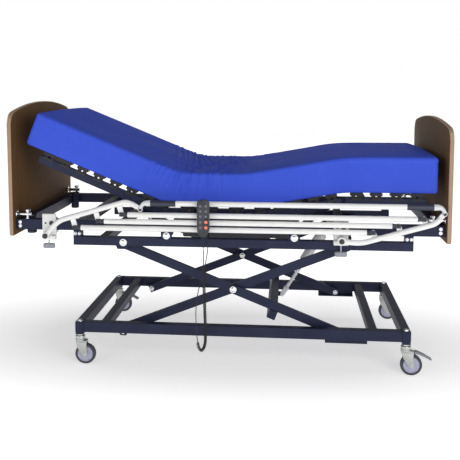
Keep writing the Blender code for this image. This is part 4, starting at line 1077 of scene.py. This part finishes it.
def wrinkle_field(rng, count, centre, spread, across, width, height, bow, lean=0.0):
    """Seeded creases: each is a narrow ridge along a curved line, fading out at its ends."""
    made = []
    for _ in range(count):
        made.append({
            "s": rng.uniform(centre - spread, centre + spread), "y": rng.uniform(*across),
            "reach": rng.uniform(0.45, 1.0), "width": rng.uniform(*width), "height": rng.uniform(*height),
            "bow": rng.uniform(*bow), "lean": rng.uniform(-lean, lean), "wave": rng.uniform(0.0, 6.28)})
    return made


def crease(s, v, one, reach):
    """Height of one crease at arc position s and cross position v."""
    away = v - one["y"]
    line = one["s"] + one["bow"] * away * away + one["lean"] * away
    line = line + 0.004 * np.sin(away * 23.0 + one["wave"])
    across = (s - line) / one["width"]
    fade = np.exp(-(away / (reach * one["reach"])) ** 2)
    return one["height"] * fade * (np.exp(-across ** 2) - 0.55 * np.exp(-((across - 1.5) ** 2)))


def fold_field(rng, count, centre, spread):
    """Seeded long folds that cross the top from one edge and run on down the side."""
    made = []
    for k in range(count):
        place = centre + spread * (2.0 * (k + rng.uniform(0.1, 0.9)) / count - 1.0)
        made.append({
            "s": place, "lean": rng.uniform(0.12, 0.27), "drop": rng.uniform(-0.10, 0.25),
            "width": rng.uniform(0.0050, 0.0095), "height": rng.uniform(0.0022, 0.0058),
            "over": rng.uniform(0.22, 0.85), "down": rng.uniform(0.035, 0.110),
            "wave": rng.uniform(0.0, 6.28)})
    return made


def fold(s, edge, one):
    """Height of one long fold; edge is the distance from the top edge, negative down the side."""
    line = one["s"] + one["lean"] * np.maximum(edge, 0.0) + one["drop"] * np.minimum(edge, 0.0)
    line = line + 0.004 * np.sin(edge * 17.0 + one["wave"])
    across = (s - line) / one["width"]
    reach = np.where(edge > 0.0, one["over"], one["down"])
    fade = np.exp(-(edge / reach) ** 2) * (1.0 - 0.55 * np.exp(-(edge / 0.014) ** 2))
    return one["height"] * fade * (np.exp(-across ** 2) - 0.75 * np.exp(-(across - 1.5) ** 2))


# Each row: count, middle and spread along, place across, width, height, bow, lean
TOP_CREASES = (9, -0.02, 0.42, (-0.40, 0.42), (0.014, 0.030), (0.0008, 0.0018), (-0.4, 0.4), 0.3)
BACK_CREASES = (12, -0.10, 0.185, (-0.03, 0.06), (0.0048, 0.0080), (0.0012, 0.0026), (-3.0, 3.0), 0.30)
KNEE_CREASES = (9, 0.40, 0.10, (0.0, 0.07), (0.005, 0.009), (0.0010, 0.0024), (-4.0, 4.0), 0.5)
HEAD_CREASES = (7, -0.55, 0.28, (-0.02, 0.05), (0.008, 0.016), (0.0008, 0.0018), (-2.0, 2.0), 1.4)


def round_edges(points):
    """The flat box with rounded edges, its outward directions, and the middle it is measured from."""
    s, y, t = points[:, 0], points[:, 1], points[:, 2]
    middle = (s.min() + s.max()) / 2
    half = np.array([(s.max() - s.min()) / 2, HALF_WIDE, HALF_THICK])
    local = np.stack([s - middle, y, t], axis=1)
    inner = np.clip(local, -(half - CORNER), half - CORNER)
    away = local - inner
    length = np.linalg.norm(away, axis=1)
    strongest = np.abs(away).max(axis=1)
    outward = away / np.maximum(length, 1e-9)[:, None]
    rounded = inner + outward * (strongest / np.maximum(length, 1e-9) * length)[:, None]
    return rounded, outward, middle


def stuffing(points, outward, top, side):
    """How far the foam fills out the top, the sides and the ends."""
    s, y, t = points[:, 0], points[:, 1], points[:, 2]
    crown = 0.007 * top * (1.0 - (y / HALF_WIDE) ** 2) ** 0.7
    crown += 0.006 * top * soft_step((s - 0.62) / 0.16) + 0.004 * top
    belly = 0.004 * side * (1.0 - (t / HALF_THICK) ** 2)
    ends = np.abs(outward[:, 0]) * 0.004 * (1.0 - (y / HALF_WIDE) ** 4) * (1.0 - (t / HALF_THICK) ** 2)
    return crown + belly + ends


def add_folds(height, points, top, side):
    """Raise the long folds at the back hinge and the small creases, in a fixed random order."""
    rng = random.Random(41)
    s, y, t = points[:, 0], points[:, 1], points[:, 2]
    for sign in (-1, 1):
        edge = HALF_WIDE + sign * y + t - HALF_THICK
        here = top + side * (np.sign(y) != sign)
        for one in fold_field(rng, 19, -0.135, 0.20):
            height += here * fold(s, edge, one)
    for one in wrinkle_field(rng, *TOP_CREASES):
        height += top * crease(s, y, one, 0.20)
    for sign in (-1, 1):
        here = side * (np.sign(y) == sign)
        for creases, reach in ((BACK_CREASES, 0.075), (KNEE_CREASES, 0.05), (HEAD_CREASES, 0.07)):
            for one in wrinkle_field(rng, *creases):
                height += here * crease(s, t, one, reach)


def dress_mattress(points):
    """Round, stuff and crease the flat box; each point moves along its own outward direction."""
    rounded, outward, middle = round_edges(points)
    top = np.clip(outward[:, 2], 0.0, 1.0)
    side = np.abs(outward[:, 1])
    height = stuffing(points, outward, top, side)
    add_folds(height, points, top, side)
    under = np.clip(-outward[:, 2], 0.0, 1.0)
    height *= 1.0 - under
    moved = rounded + outward * height[:, None]
    moved[:, 0] += middle
    return moved


def bend_mattress(points):
    """Carry the straight mattress round the bed's bends."""
    line_s, line_x, line_z, slope = bend_line()
    s, y, t = points[:, 0], points[:, 1], points[:, 2]
    x = np.interp(s, line_s, line_x)
    z = np.interp(s, line_s, line_z)
    angle = np.interp(s, line_s, slope)
    lift = t + 0.0006
    return np.stack([x - np.sin(angle) * lift, y + MID_Y, z + np.cos(angle) * lift], axis=1)


def cut_mattress(name, points, faces, low, high):
    """The part of the mattress between two arc positions, its ends closed inside the foam."""
    bm = bmesh.new()
    verts = [bm.verts.new(p) for p in points]
    for face in faces:
        bm.faces.new([verts[i] for i in face])
    line_s, line_x, line_z, slope = bend_line()
    for limit, sense in ((low, -1), (high, 1)):
        if limit is None:
            continue
        x, z, angle = (float(np.interp(limit, line_s, values)) for values in (line_x, line_z, slope))
        normal = Vector((math.cos(angle) * sense, 0.0, math.sin(angle) * sense))
        done = bmesh.ops.bisect_plane(bm, geom=bm.verts[:] + bm.edges[:] + bm.faces[:], dist=1e-6,
                                      plane_co=Vector((x, 0.0, z)), plane_no=normal, clear_outer=True)
        rim = [e for e in done["geom_cut"] if isinstance(e, bmesh.types.BMEdge)]
        bmesh.ops.contextual_create(bm, geom=rim)
    return finish_object(name, bm, COVER, 60.0)


def make_mattress():
    along, across, through = grid_lines()
    points, faces = box_shell(along, across, through)
    points = bend_mattress(dress_mattress(points))
    seat_cut, thigh_cut = 0.0, 0.385
    head = cut_mattress("mattress_head", points, faces, None, seat_cut)
    seat = cut_mattress("mattress_middle", points, faces, seat_cut, thigh_cut)
    foot = cut_mattress("mattress_foot", points, faces, thigh_cut, None)
    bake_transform(head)
    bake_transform(seat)
    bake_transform(foot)
    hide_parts("mattress_back", "mattress_seat")
    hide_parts("mattress_thigh")
    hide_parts("mattress_leg")


# ---------------------------------------------------------------- side rail

def arm_point(pivot_x, reach, offset=0.0):
    """A point on an arm: reach along its chord, offset square to the chord."""
    c, s = math.cos(ARM_TILT), math.sin(ARM_TILT)
    return (pivot_x + c * reach - s * offset, ARM_Z + s * reach + c * offset)


def arm_bow(reach, height):
    rise = min(1.0, reach / 0.110)
    fall = min(1.0, (TIP_R - reach) / 0.070)
    return height * math.sin(math.pi / 2 * max(0.0, rise)) * math.sin(math.pi / 2 * max(0.0, fall))


def make_arm(end, pivot_x, bow):
    y = RAIL_PLANE
    bm = bmesh.new()
    points, sizes = [], []
    steps = 60
    stop = TIP_R - 0.020
    for i in range(steps + 1):
        reach = stop * i / steps
        x, z = arm_point(pivot_x, reach, arm_bow(reach, bow))
        points.append(at(x, y, z))
        left = (stop - reach) / 0.008
        sizes.append(0.0124 * (0.55 + 0.45 * math.sqrt(max(0.0, min(1.0, left) * (2 - min(1.0, left))))))
    tube(bm, points, sizes, 28)
    hub = at(pivot_x, y - 0.0138, ARM_Z)
    lathe(bm, hub, hub - TOWARD, [(0.0165, 0.0), (0.0187, 0.0016), (0.0187, 0.0258), (0.0170, 0.0274)], 40)
    dark = bmesh.new()
    for reach in PIN_R:
        top, pin = arm_point(pivot_x, reach, arm_bow(reach, bow)), arm_point(pivot_x, reach)
        lug(bm, top, pin, (y + 0.0050, y + 0.0102), 0.0125)
        pin_bolt(dark, pin, y)
    tip = arm_point(pivot_x, TIP_R)
    neck = arm_point(pivot_x, TIP_R - 0.030, arm_bow(TIP_R - 0.030, bow))
    lug(bm, neck, tip, (y + 0.0048, y + 0.0102), 0.0114)
    pin_bolt(dark, tip, y)
    body = f"rail_arm_{end}"
    put(finish_object(f"arm_{end}", bm, WHITE), body, "off_white_coat", body)
    put(finish_object(f"arm_{end}_pins", dark, BLACK), body, "black_plastic")


def lug(bm, top, pin, y, half):
    """A round-ended tab from an arm down to a pin."""
    dx, dz = pin[0] - top[0], pin[1] - top[1]
    run = math.hypot(dx, dz)
    ux, uz = dx / run, dz / run
    nx, nz = -uz, ux
    outline = [(top[0] + nx * half, top[1] + nz * half)]
    heading = math.atan2(nz, nx)
    for k in range(13):
        angle = heading - math.pi * k / 12
        outline.append((pin[0] + half * 0.9 * math.cos(angle), pin[1] + half * 0.9 * math.sin(angle)))
    outline.append((top[0] - nx * half, top[1] - nz * half))
    flat(bm, outline, y, 0.0)


def pin_bolt(bm, pin, y):
    """A pivot pin with a domed black head on the near face and its shank running through behind."""
    head = at(pin[0], y - 0.0046, pin[1])
    lathe(bm, head, head + TOWARD, [(0.0078, 0.0), (0.0080, 0.0008), (0.0074, 0.0024), (0.0052, 0.0036),
                                               (0.0030, 0.0039), (0.0026, 0.0028), (0.0003, 0.0027)], 28)
    rod(bm, at(pin[0], y - 0.0050, pin[1]), at(pin[0], y + 0.0112, pin[1]), 0.0038, 16)


def make_rail(name, reach):
    y = RAIL_PLANE
    head, foot = arm_point(ARM_HEAD_X, reach), arm_point(ARM_FOOT_X, reach)
    bm = bmesh.new()
    rod(bm, at(head[0] + 0.0290, y, head[1]), at(foot[0] - 0.0290, y, foot[1]), 0.0124, 32)
    dark = bmesh.new()
    for pin, side in ((head, 1), (foot, -1)):
        x = sorted((pin[0] - side * 0.0105, pin[0] + side * 0.0260))
        box(dark, x, (y - 0.0038, y + 0.0038), (pin[1] - 0.0098, pin[1] + 0.0098), 0.0018, 3)
        start = at(pin[0] + side * 0.0212, y, pin[1])
        plug = [(0.0096, 0.0), (0.0119, 0.0030), (0.0125, 0.0036), (0.0125, 0.0078)]
        lathe(dark, start, start + Vector((side, 0, 0)), plug, 32)
    put(finish_object(f"{name}_tube", bm, WHITE), name, "off_white_coat", name)
    put(finish_object(f"{name}_inserts", dark, NAVY_PLASTIC), name, "black_plastic")


def make_top_rail():
    y = RAIL_PLANE
    head, foot = arm_point(ARM_HEAD_X, TIP_R), arm_point(ARM_FOOT_X, TIP_R)
    z = head[1] + TOP_LIFT
    bm, dark, cast = bmesh.new(), bmesh.new(), bmesh.new()
    rod(bm, at(head[0] + 0.150, y, z), at(foot[0] - 0.150, y, z), 0.0124, 32)
    for pin, side in ((head, 1), (foot, -1)):
        start = at(pin[0] + side * 0.0470, y, z)
        sleeve = [(0.0122, 0.0), (0.0142, 0.0016), (0.0144, 0.0040), (0.0144, 0.1130), (0.0140, 0.1165),
                  (0.0122, 0.1180)]
        lathe(dark, start, start + Vector((side, 0, 0)), sleeve, 36)
        top = [Vector((pin[0] + side * dx, 0, dz)) for dx, dz in
               ((0.0490, z), (0.0360, z), (0.0240, z - 0.0005), (0.0135, z - 0.0045), (0.0060, z - 0.0125),
                (0.0020, z - 0.0200), (0.0, pin[1] + 0.004))]
        path = smooth_route([at(p.x, y, p.z) for p in top], 0.003)
        sizes = [0.0137 - 0.0049 * ease(i / (len(path) - 1) * 1.6 - 0.3) for i in range(len(path))]
        tube(cast, path, sizes, 24)
        for dx in (0.030, 0.045):
            band = at(pin[0] + side * dx, y, z)
            lip = [(0.0120, 0.0), (0.0143, 0.0003), (0.0145, 0.0012), (0.0143, 0.0021), (0.0120, 0.0024)]
            ring(cast, band, band + Vector((side, 0, 0)), lip, 32)
        eye = at(pin[0], y - 0.0038, pin[1])
        disc = [(0.0105, 0.0), (0.0116, 0.0010), (0.0116, 0.0066), (0.0105, 0.0076)]
        lathe(cast, eye, eye - TOWARD, disc, 32)
    put(finish_object("grab_rail", bm, WHITE), "rail_top", "off_white_coat", "rail_top")
    put(finish_object("grab_rail_sleeves", dark, NAVY_PLASTIC), "rail_top", "black_plastic")
    put(finish_object("grab_rail_corners", cast, PALE), "rail_top", "grey_plastic")


CLAMP_FACE, CLAMP_BACK = -0.4698, -0.4575
SCREW_Y = -0.4745                   # the hand screws' axis
SCREW_LOW = {"head": 0.572, "foot": 0.5595}


def make_clamp(end, pivot_x):
    make_clamp_body(end, pivot_x)
    make_clamp_caps(end, pivot_x)
    make_thumb_screw(end, pivot_x, SCREW_LOW[end])


def make_clamp_body(end, pivot_x):
    """The bracket that hooks round the side tube, with the arm's pivot boss and pin."""
    x = (pivot_x - 0.0338, pivot_x + 0.0338)
    bm = bmesh.new()
    box(bm, x, (CLAMP_FACE, CLAMP_BACK), (0.6122, 0.7338), 0.0045, 3)
    box(bm, x, (CLAMP_FACE + 0.0012, -0.4338), (0.7055, 0.7148), 0.0035, 3)
    box(bm, x, (CLAMP_FACE + 0.0012, -0.4252), (0.6422, 0.6545), 0.0035, 3)
    box(bm, x, (-0.4888, CLAMP_FACE + 0.002), (0.6122, 0.6338), 0.0045, 3)
    start = at(pivot_x, -0.4690, ARM_Z)
    boss = [(0.0210, 0.0), (0.0195, 0.0030), (0.0158, 0.0060), (0.0158, 0.0362)]
    lathe(bm, start, start + TOWARD, boss, 40)
    rod(bm, at(pivot_x, -0.500, ARM_Z), at(pivot_x, RAIL_PLANE - 0.0145, ARM_Z), 0.0060, 24)
    put(finish_object(f"rail_clamp_{end}", bm, WHITE), "upper_frame", "off_white_coat", f"clamp_{end}")


def make_clamp_caps(end, pivot_x):
    """The black caps: on the arm's pivot, and two on the bracket's face."""
    cap = bmesh.new()
    pivot_cap = [(0.0112, 0.0), (0.0120, 0.0008), (0.0120, 0.0040), (0.0106, 0.0062), (0.0070, 0.0074),
                 (0.0010, 0.0077)]
    large_cap = [(0.0100, 0.0), (0.0106, 0.0008), (0.0104, 0.0046), (0.0086, 0.0064), (0.0052, 0.0070),
                 (0.0046, 0.0050), (0.0006, 0.0049)]
    small_cap = [(0.0046, 0.0), (0.0048, 0.0006), (0.0036, 0.0012), (0.0006, 0.0013)]
    for spot, profile, sides in ((at(pivot_x, RAIL_PLANE - 0.0143, ARM_Z), pivot_cap, 36),
                                 (at(pivot_x + 0.012, CLAMP_FACE + 0.0003, 0.690), large_cap, 32),
                                 (at(pivot_x - 0.017, CLAMP_FACE + 0.0003, 0.690), small_cap, 20)):
        lathe(cap, spot, spot + TOWARD, profile, sides)
    put(finish_object(f"rail_clamp_{end}_cap", cap, BLACK), "upper_frame", "black_plastic")


def make_thumb_screw(end, pivot_x, low):
    """An oval knob pinched at its waist, and the threaded shaft above it."""
    screw = bmesh.new()
    outline = []
    for k in range(36):
        angle = 2 * math.pi * k / 36
        pinch = 1.0 - 0.16 * math.cos(2 * angle) ** 8 * (1 if abs(math.sin(angle)) > 0.7 else 0)
        across = 0.0128 * math.copysign(abs(math.sin(angle)) ** 0.7, math.sin(angle)) * pinch
        outline.append((0.0285 * math.cos(angle), across))
    loops = []
    for z, scale in ((low + 0.0004, 0.90), (low + 0.0020, 0.98), (low + 0.0100, 1.0), (low + 0.0190, 0.98),
                     (low + 0.0214, 0.88)):
        loops.append([screw.verts.new(at(pivot_x + dx * scale, SCREW_Y + dy * scale, z))
                      for dx, dy in outline])
    bridge(screw, loops)
    screw.faces.new(loops[0])
    screw.faces.new(loops[-1][::-1])
    knob = finish_object(f"thumb_knob_{end}", screw, GREY)
    put(knob, f"clamp_screw_{end}", "grey_plastic", f"clamp_screw_{end}")
    shaft = bmesh.new()
    pitch, top = 0.0008, 0.6215
    count = int((top - low - 0.0210) / pitch)
    turns = [(0.0038 if i % 2 else 0.0031, pitch * i) for i in range(count)]
    lathe(shaft, at(pivot_x, SCREW_Y, low + 0.0212), at(pivot_x, SCREW_Y, 0.65), turns, 18)
    put(finish_object(f"thumb_shaft_{end}", shaft, CHROME), f"clamp_screw_{end}", "zinc_plate")


# ---------------------------------------------------------------- lift, drives and frame fittings

LIFT_TOP = (0.488, 0.601)           # X and Z of the actuator's upper pivot
MOTOR_Y = 0.046


def lift_foot():
    """X and Z of the actuator's lower pivot, on the lug of the scissor's cross tube."""
    arm_rise, drop = 0.418, 0.042 / 2 + 0.020 + 0.0003
    length = math.hypot(ARM_SPAN, arm_rise)
    c, s = ARM_SPAN / length, arm_rise / length
    centre = (PIVOT_X + ARM_SPAN / 2, (PIVOT_LOW + PIVOT_HIGH) / 2)
    return (centre[0] + c * 0.215 - s * drop + 0.045, centre[1] - s * 0.215 - c * drop - 0.006)


def lift_axis():
    """The actuator's length between its pivots, and its direction in X and Z."""
    low = lift_foot()
    reach = math.hypot(LIFT_TOP[0] - low[0], LIFT_TOP[1] - low[1])
    return reach, (LIFT_TOP[0] - low[0]) / reach, (LIFT_TOP[1] - low[1]) / reach


def below(distance, y=0.0):
    """A point this far below the upper pivot, along the actuator."""
    _, ux, uz = lift_axis()
    return at(LIFT_TOP[0] - ux * distance, y, LIFT_TOP[1] - uz * distance)


def make_lift_housing():
    """The tube with its open mouth, the ribbed motor case beside it, and the gear case between."""
    bm = bmesh.new()
    barrel = [(0.0096, 0.0), (0.0170, 0.0), (0.0186, 0.0016), (0.0188, 0.0060), (0.0172, 0.0064),
              (0.0172, 0.0120), (0.0186, 0.0126), (0.0188, 0.2840), (0.0172, 0.2915), (0.0096, 0.2840)]
    tail = [(0.0100, 0.0), (0.0172, 0.0005), (0.0168, 0.0080), (0.0120, 0.0084)]
    motor = [(0.0170, 0.0), (0.0225, 0.0016), (0.0236, 0.0050), (0.0236, 0.1420), (0.0225, 0.1480),
             (0.0190, 0.1510)]
    gears = [(0.0178, 0.0), (0.0225, 0.0), (0.0272, 0.0022), (0.0277, 0.0060), (0.0277, 0.0430),
             (0.0268, 0.0480), (0.0225, 0.0500), (0.0178, 0.0500)]
    rib = [(0.0230, 0.0), (0.0240, 0.0006), (0.0240, 0.0026), (0.0230, 0.0032)]
    ring(bm, below(0.230), below(0.0), barrel, 40)
    lathe(bm, below(-0.0535), below(-0.062), tail, 32)
    lathe(bm, below(0.213, MOTOR_Y), below(0.062, MOTOR_Y), motor, 40)
    ring(bm, below(0.0848), below(0.0345), gears, 36)
    rod(bm, below(0.050, 0.010), below(0.050, 0.048), 0.0196, 32, 0.002)
    for sign in (NEAR, FAR):
        inner, outer = sign * 0.0150, sign * 0.0238
        rod(bm, at(LIFT_TOP[0], inner, LIFT_TOP[1]), at(LIFT_TOP[0], outer, LIFT_TOP[1]), 0.0133, 28)
    for k in range(6):
        ring(bm, below(0.190 - 0.020 * k, MOTOR_Y), below(0.0, MOTOR_Y), rib, 40)
    put(finish_object("lift_housing", bm, PALE), "lift_tube", "grey_plastic", "lift_tube")


def make_lift_stem():
    """The chromed rod, its collar, and the fork at its lower end."""
    low = lift_foot()
    reach, ux, uz = lift_axis()
    bm = bmesh.new()
    rod(bm, below(reach - 0.042), below(0.0905), 0.0089, 40)
    collar = [(0.0120, 0.0), (0.0138, 0.0015), (0.0138, 0.0130), (0.0120, 0.0148)]
    lathe(bm, below(reach - 0.030), below(reach - 0.050), collar, 32)
    for sign in (NEAR, FAR):
        y = sorted((sign * 0.0062, sign * 0.0108))
        lug(bm, (low[0] + ux * 0.036, low[1] + uz * 0.036), low, y, 0.0112)
        bolt(bm, at(low[0], sign * 0.0108, low[1]), (0, sign, 0), 0.0058, 0.0045)
    put(finish_object("lift_stem", bm, ROD_CHROME), "lift_rod", "zinc_plate", "lift_rod")


def make_actuator():
    make_lift_housing()
    make_lift_stem()


def make_bolts():
    """The bolts and caps of the scissor, the frames and the casters."""
    foot_x = PIVOT_X + ARM_SPAN
    centre = ((PIVOT_X + foot_x) / 2, (PIVOT_LOW + PIVOT_HIGH) / 2)
    groups = {body: bmesh.new() for body in ("scissor_outer", "scissor_inner", "upper_frame", "base")}
    outer, inner, upper, base = groups.values()
    for sign in (NEAR, FAR):
        out = (0, sign, 0)
        inward = (0, -sign, 0)
        cap_bolt(outer, at(centre[0], sign * 0.4011, centre[1]), out, 0.0120)
        cap_bolt(outer, at(centre[0], sign * 0.3449, centre[1]), inward, 0.0110)
        cap_bolt(inner, at(PIVOT_X, sign * 0.3574, PIVOT_LOW), inward, 0.0105)
        cap_bolt(inner, at(foot_x, sign * 0.3574, PIVOT_HIGH), inward, 0.0105)
        cap_bolt(outer, at(PIVOT_X, sign * 0.3769, PIVOT_HIGH), inward, 0.0095)
        cap_bolt(outer, at(foot_x, sign * 0.3769, PIVOT_LOW), inward, 0.0095)
        cap_bolt(upper, at(PIVOT_X + 0.012, sign * SIDE_FACE, 0.601), out, 0.0130)
        cap_bolt(base, at(PIVOT_X, sign * 0.4281, PIVOT_LOW - 0.006), out, 0.0075)
        for x in LEVER_SHAFTS:
            cap_bolt(upper, at(x, sign * 0.4627, LEVER_Z), out, 0.0125)
        for x in (0.8305, 0.8500, -0.7100, -0.6900):
            cap_bolt(upper, at(x, sign * SIDE_FACE, 0.640), out, 0.0058)
        for x in (CASTER_HEAD, CASTER_FOOT):
            bolt(base, at(x, sign * CORNER_Y, 0.2101), (0, 0, 1), 0.0095, 0.0070)
    for body, bm in groups.items():
        put(finish_object(f"bolts_{body}", bm, CAPS), body, "zinc_plate")


def make_welds():
    """Weld beads where the tubes of the main frame and the base meet."""
    bm = bmesh.new()
    post = 0.038
    for sign in (NEAR, FAR):
        inside, outside = sign * 0.4180, sign * 0.4566
        for x in (-0.9440, -0.600, -0.560, -0.700, 0.850):
            weld(bm, at(x, sign * 0.4172, 0.6558), at(x + 0.012, sign * 0.4172, 0.6558))
        for x0 in (-0.719, 0.821):
            for x in (x0, x0 + post):
                for z in (0.6552, 0.6250):
                    weld(bm, at(x, sign * 0.4562, z), at(x, inside, z))
            for z in (0.6552, 0.6252):
                weld(bm, at(x0, outside, z), at(x0 + post, outside, z))
    put(finish_object("frame_welds", bm, NAVY), "upper_frame", "navy_powder_coat")
    bm = bmesh.new()
    for side in (NEAR, FAR):
        for x in (-0.680, 0.820):
            weld(bm, at(x, side * 0.4566, 0.1620), at(x, side * 0.4566, 0.2080))
            weld(bm, at(x, side * 0.4180, 0.2098), at(x, side * 0.4560, 0.2098))
    put(finish_object("base_welds", bm, NAVY), "base", "navy_powder_coat")


def make_lever_lugs():
    """The rounded plates on the main tubes that carry the ends of the lever shafts."""
    bm = bmesh.new()
    for x in LEVER_SHAFTS:
        outline = [(x - 0.0265, 0.668)]
        outline += [(x + 0.0265 * math.cos(math.pi * k / 20), LEVER_Z - 0.0265 * math.sin(math.pi * k / 20))
                    for k in range(20, -1, -1)]
        outline.append((x + 0.0265, 0.668))
        for sign in (NEAR, FAR):
            flat(bm, outline, tuple(sorted((sign * 0.4574, sign * 0.4628))), 0.0012)
    put(finish_object("lever_lugs", bm, NAVY), "upper_frame", "navy_powder_coat")


def weld(bm, start, end):
    """A fillet of overlapping beads."""
    start, end = Vector(start), Vector(end)
    length = (end - start).length
    steps = max(4, int(length / 0.0011))
    points = [start.lerp(end, i / steps) for i in range(steps + 1)]
    sizes = [0.0019 + 0.0005 * math.sin(i * 2.1) for i in range(steps + 1)]
    sizes[0] = sizes[-1] = 0.0009
    tube(bm, points, sizes, 8)


def make_drive():
    """The twin drive's housing: a long case, a wider middle, ribs and end collars."""
    x0, x1 = LEVER_SHAFTS
    z = LEVER_Z
    collar = [(0.0182, 0.0), (0.0262, 0.0), (0.0282, 0.0018), (0.0282, 0.0262), (0.0262, 0.0280),
              (0.0182, 0.0280)]
    bm = bmesh.new()
    low, high = z - 0.0855, z + 0.0255
    box(bm, (x0 + 0.0200, x1 - 0.0200), (-0.0515, 0.0515), (low, high), 0.0100, 4)
    box(bm, (x0 + 0.1205, x1 - 0.1205), (-0.0745, 0.0745), (z - 0.1035, z + 0.0295), 0.0140, 4)
    for x in (x0, x1):
        for y in (-0.0515, 0.0235):
            ring(bm, at(x, y, z), at(x, y + 0.1, z), collar, 40)
    for i in range(9):
        x = x0 + 0.155 + i * 0.0356
        box(bm, (x, x + 0.003), (-0.0750, 0.0750), (z - 0.0900, z + 0.0060), 0.0012, 1)
    for x in (x0 + 0.060, x0 + 0.090, x1 - 0.090, x1 - 0.060):
        box(bm, (x, x + 0.004), (-0.0522, 0.0522), (low + 0.008, high - 0.006), 0.0012, 1)
    put(finish_object("drive_housing", bm, BLACK), "upper_frame", "black_plastic", "twin_drive")


def dress_frame():
    """Give each CAD part that stays in view its finish."""
    navy = ("base_", "sub_", "main_", "scissor_", "back_lever", "leg_lever")
    for name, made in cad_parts.items():
        if name.startswith(navy) and made.type == "MESH":
            for place in made.material_slots:
                place.material = NAVY


PALE = plastic_material("pale_grey_plastic", (0.56, 0.57, 0.58), (0.63, 0.64, 0.65), 0.38)
FACE = plastic_material("handset_face", (0.020, 0.021, 0.030), (0.030, 0.031, 0.042), 0.30, 1800.0, 0.12)
CAPS = metal_material("bolt_zinc", (0.70, 0.71, 0.73), (0.80, 0.81, 0.83), 0.26, (1.0, 1.0, 1.0))
ROD_CHROME = shader("rod_chrome", (0.60, 0.61, 0.64), 0.34, 1.0)[0]
NAVY_PLASTIC = plastic_material("navy_plastic", (0.017, 0.019, 0.038), (0.026, 0.029, 0.052), 0.42)

make_stage()
make_camera()
make_cord()
make_handset()
make_casters()
make_boards()
for part in ("back", "seat", "thigh", "leg"):
    make_deck(part)
make_mattress()
make_arm("head", ARM_HEAD_X, 0.052)
make_arm("foot", ARM_FOOT_X, -0.032)
for rail, pin_reach in zip(("rail_low", "rail_mid", "rail_high"), PIN_R):
    make_rail(rail, pin_reach)
make_top_rail()
make_clamp("head", ARM_HEAD_X)
make_clamp("foot", ARM_FOOT_X)
make_actuator()
make_bolts()
make_welds()
make_lever_lugs()
make_drive()
dress_frame()
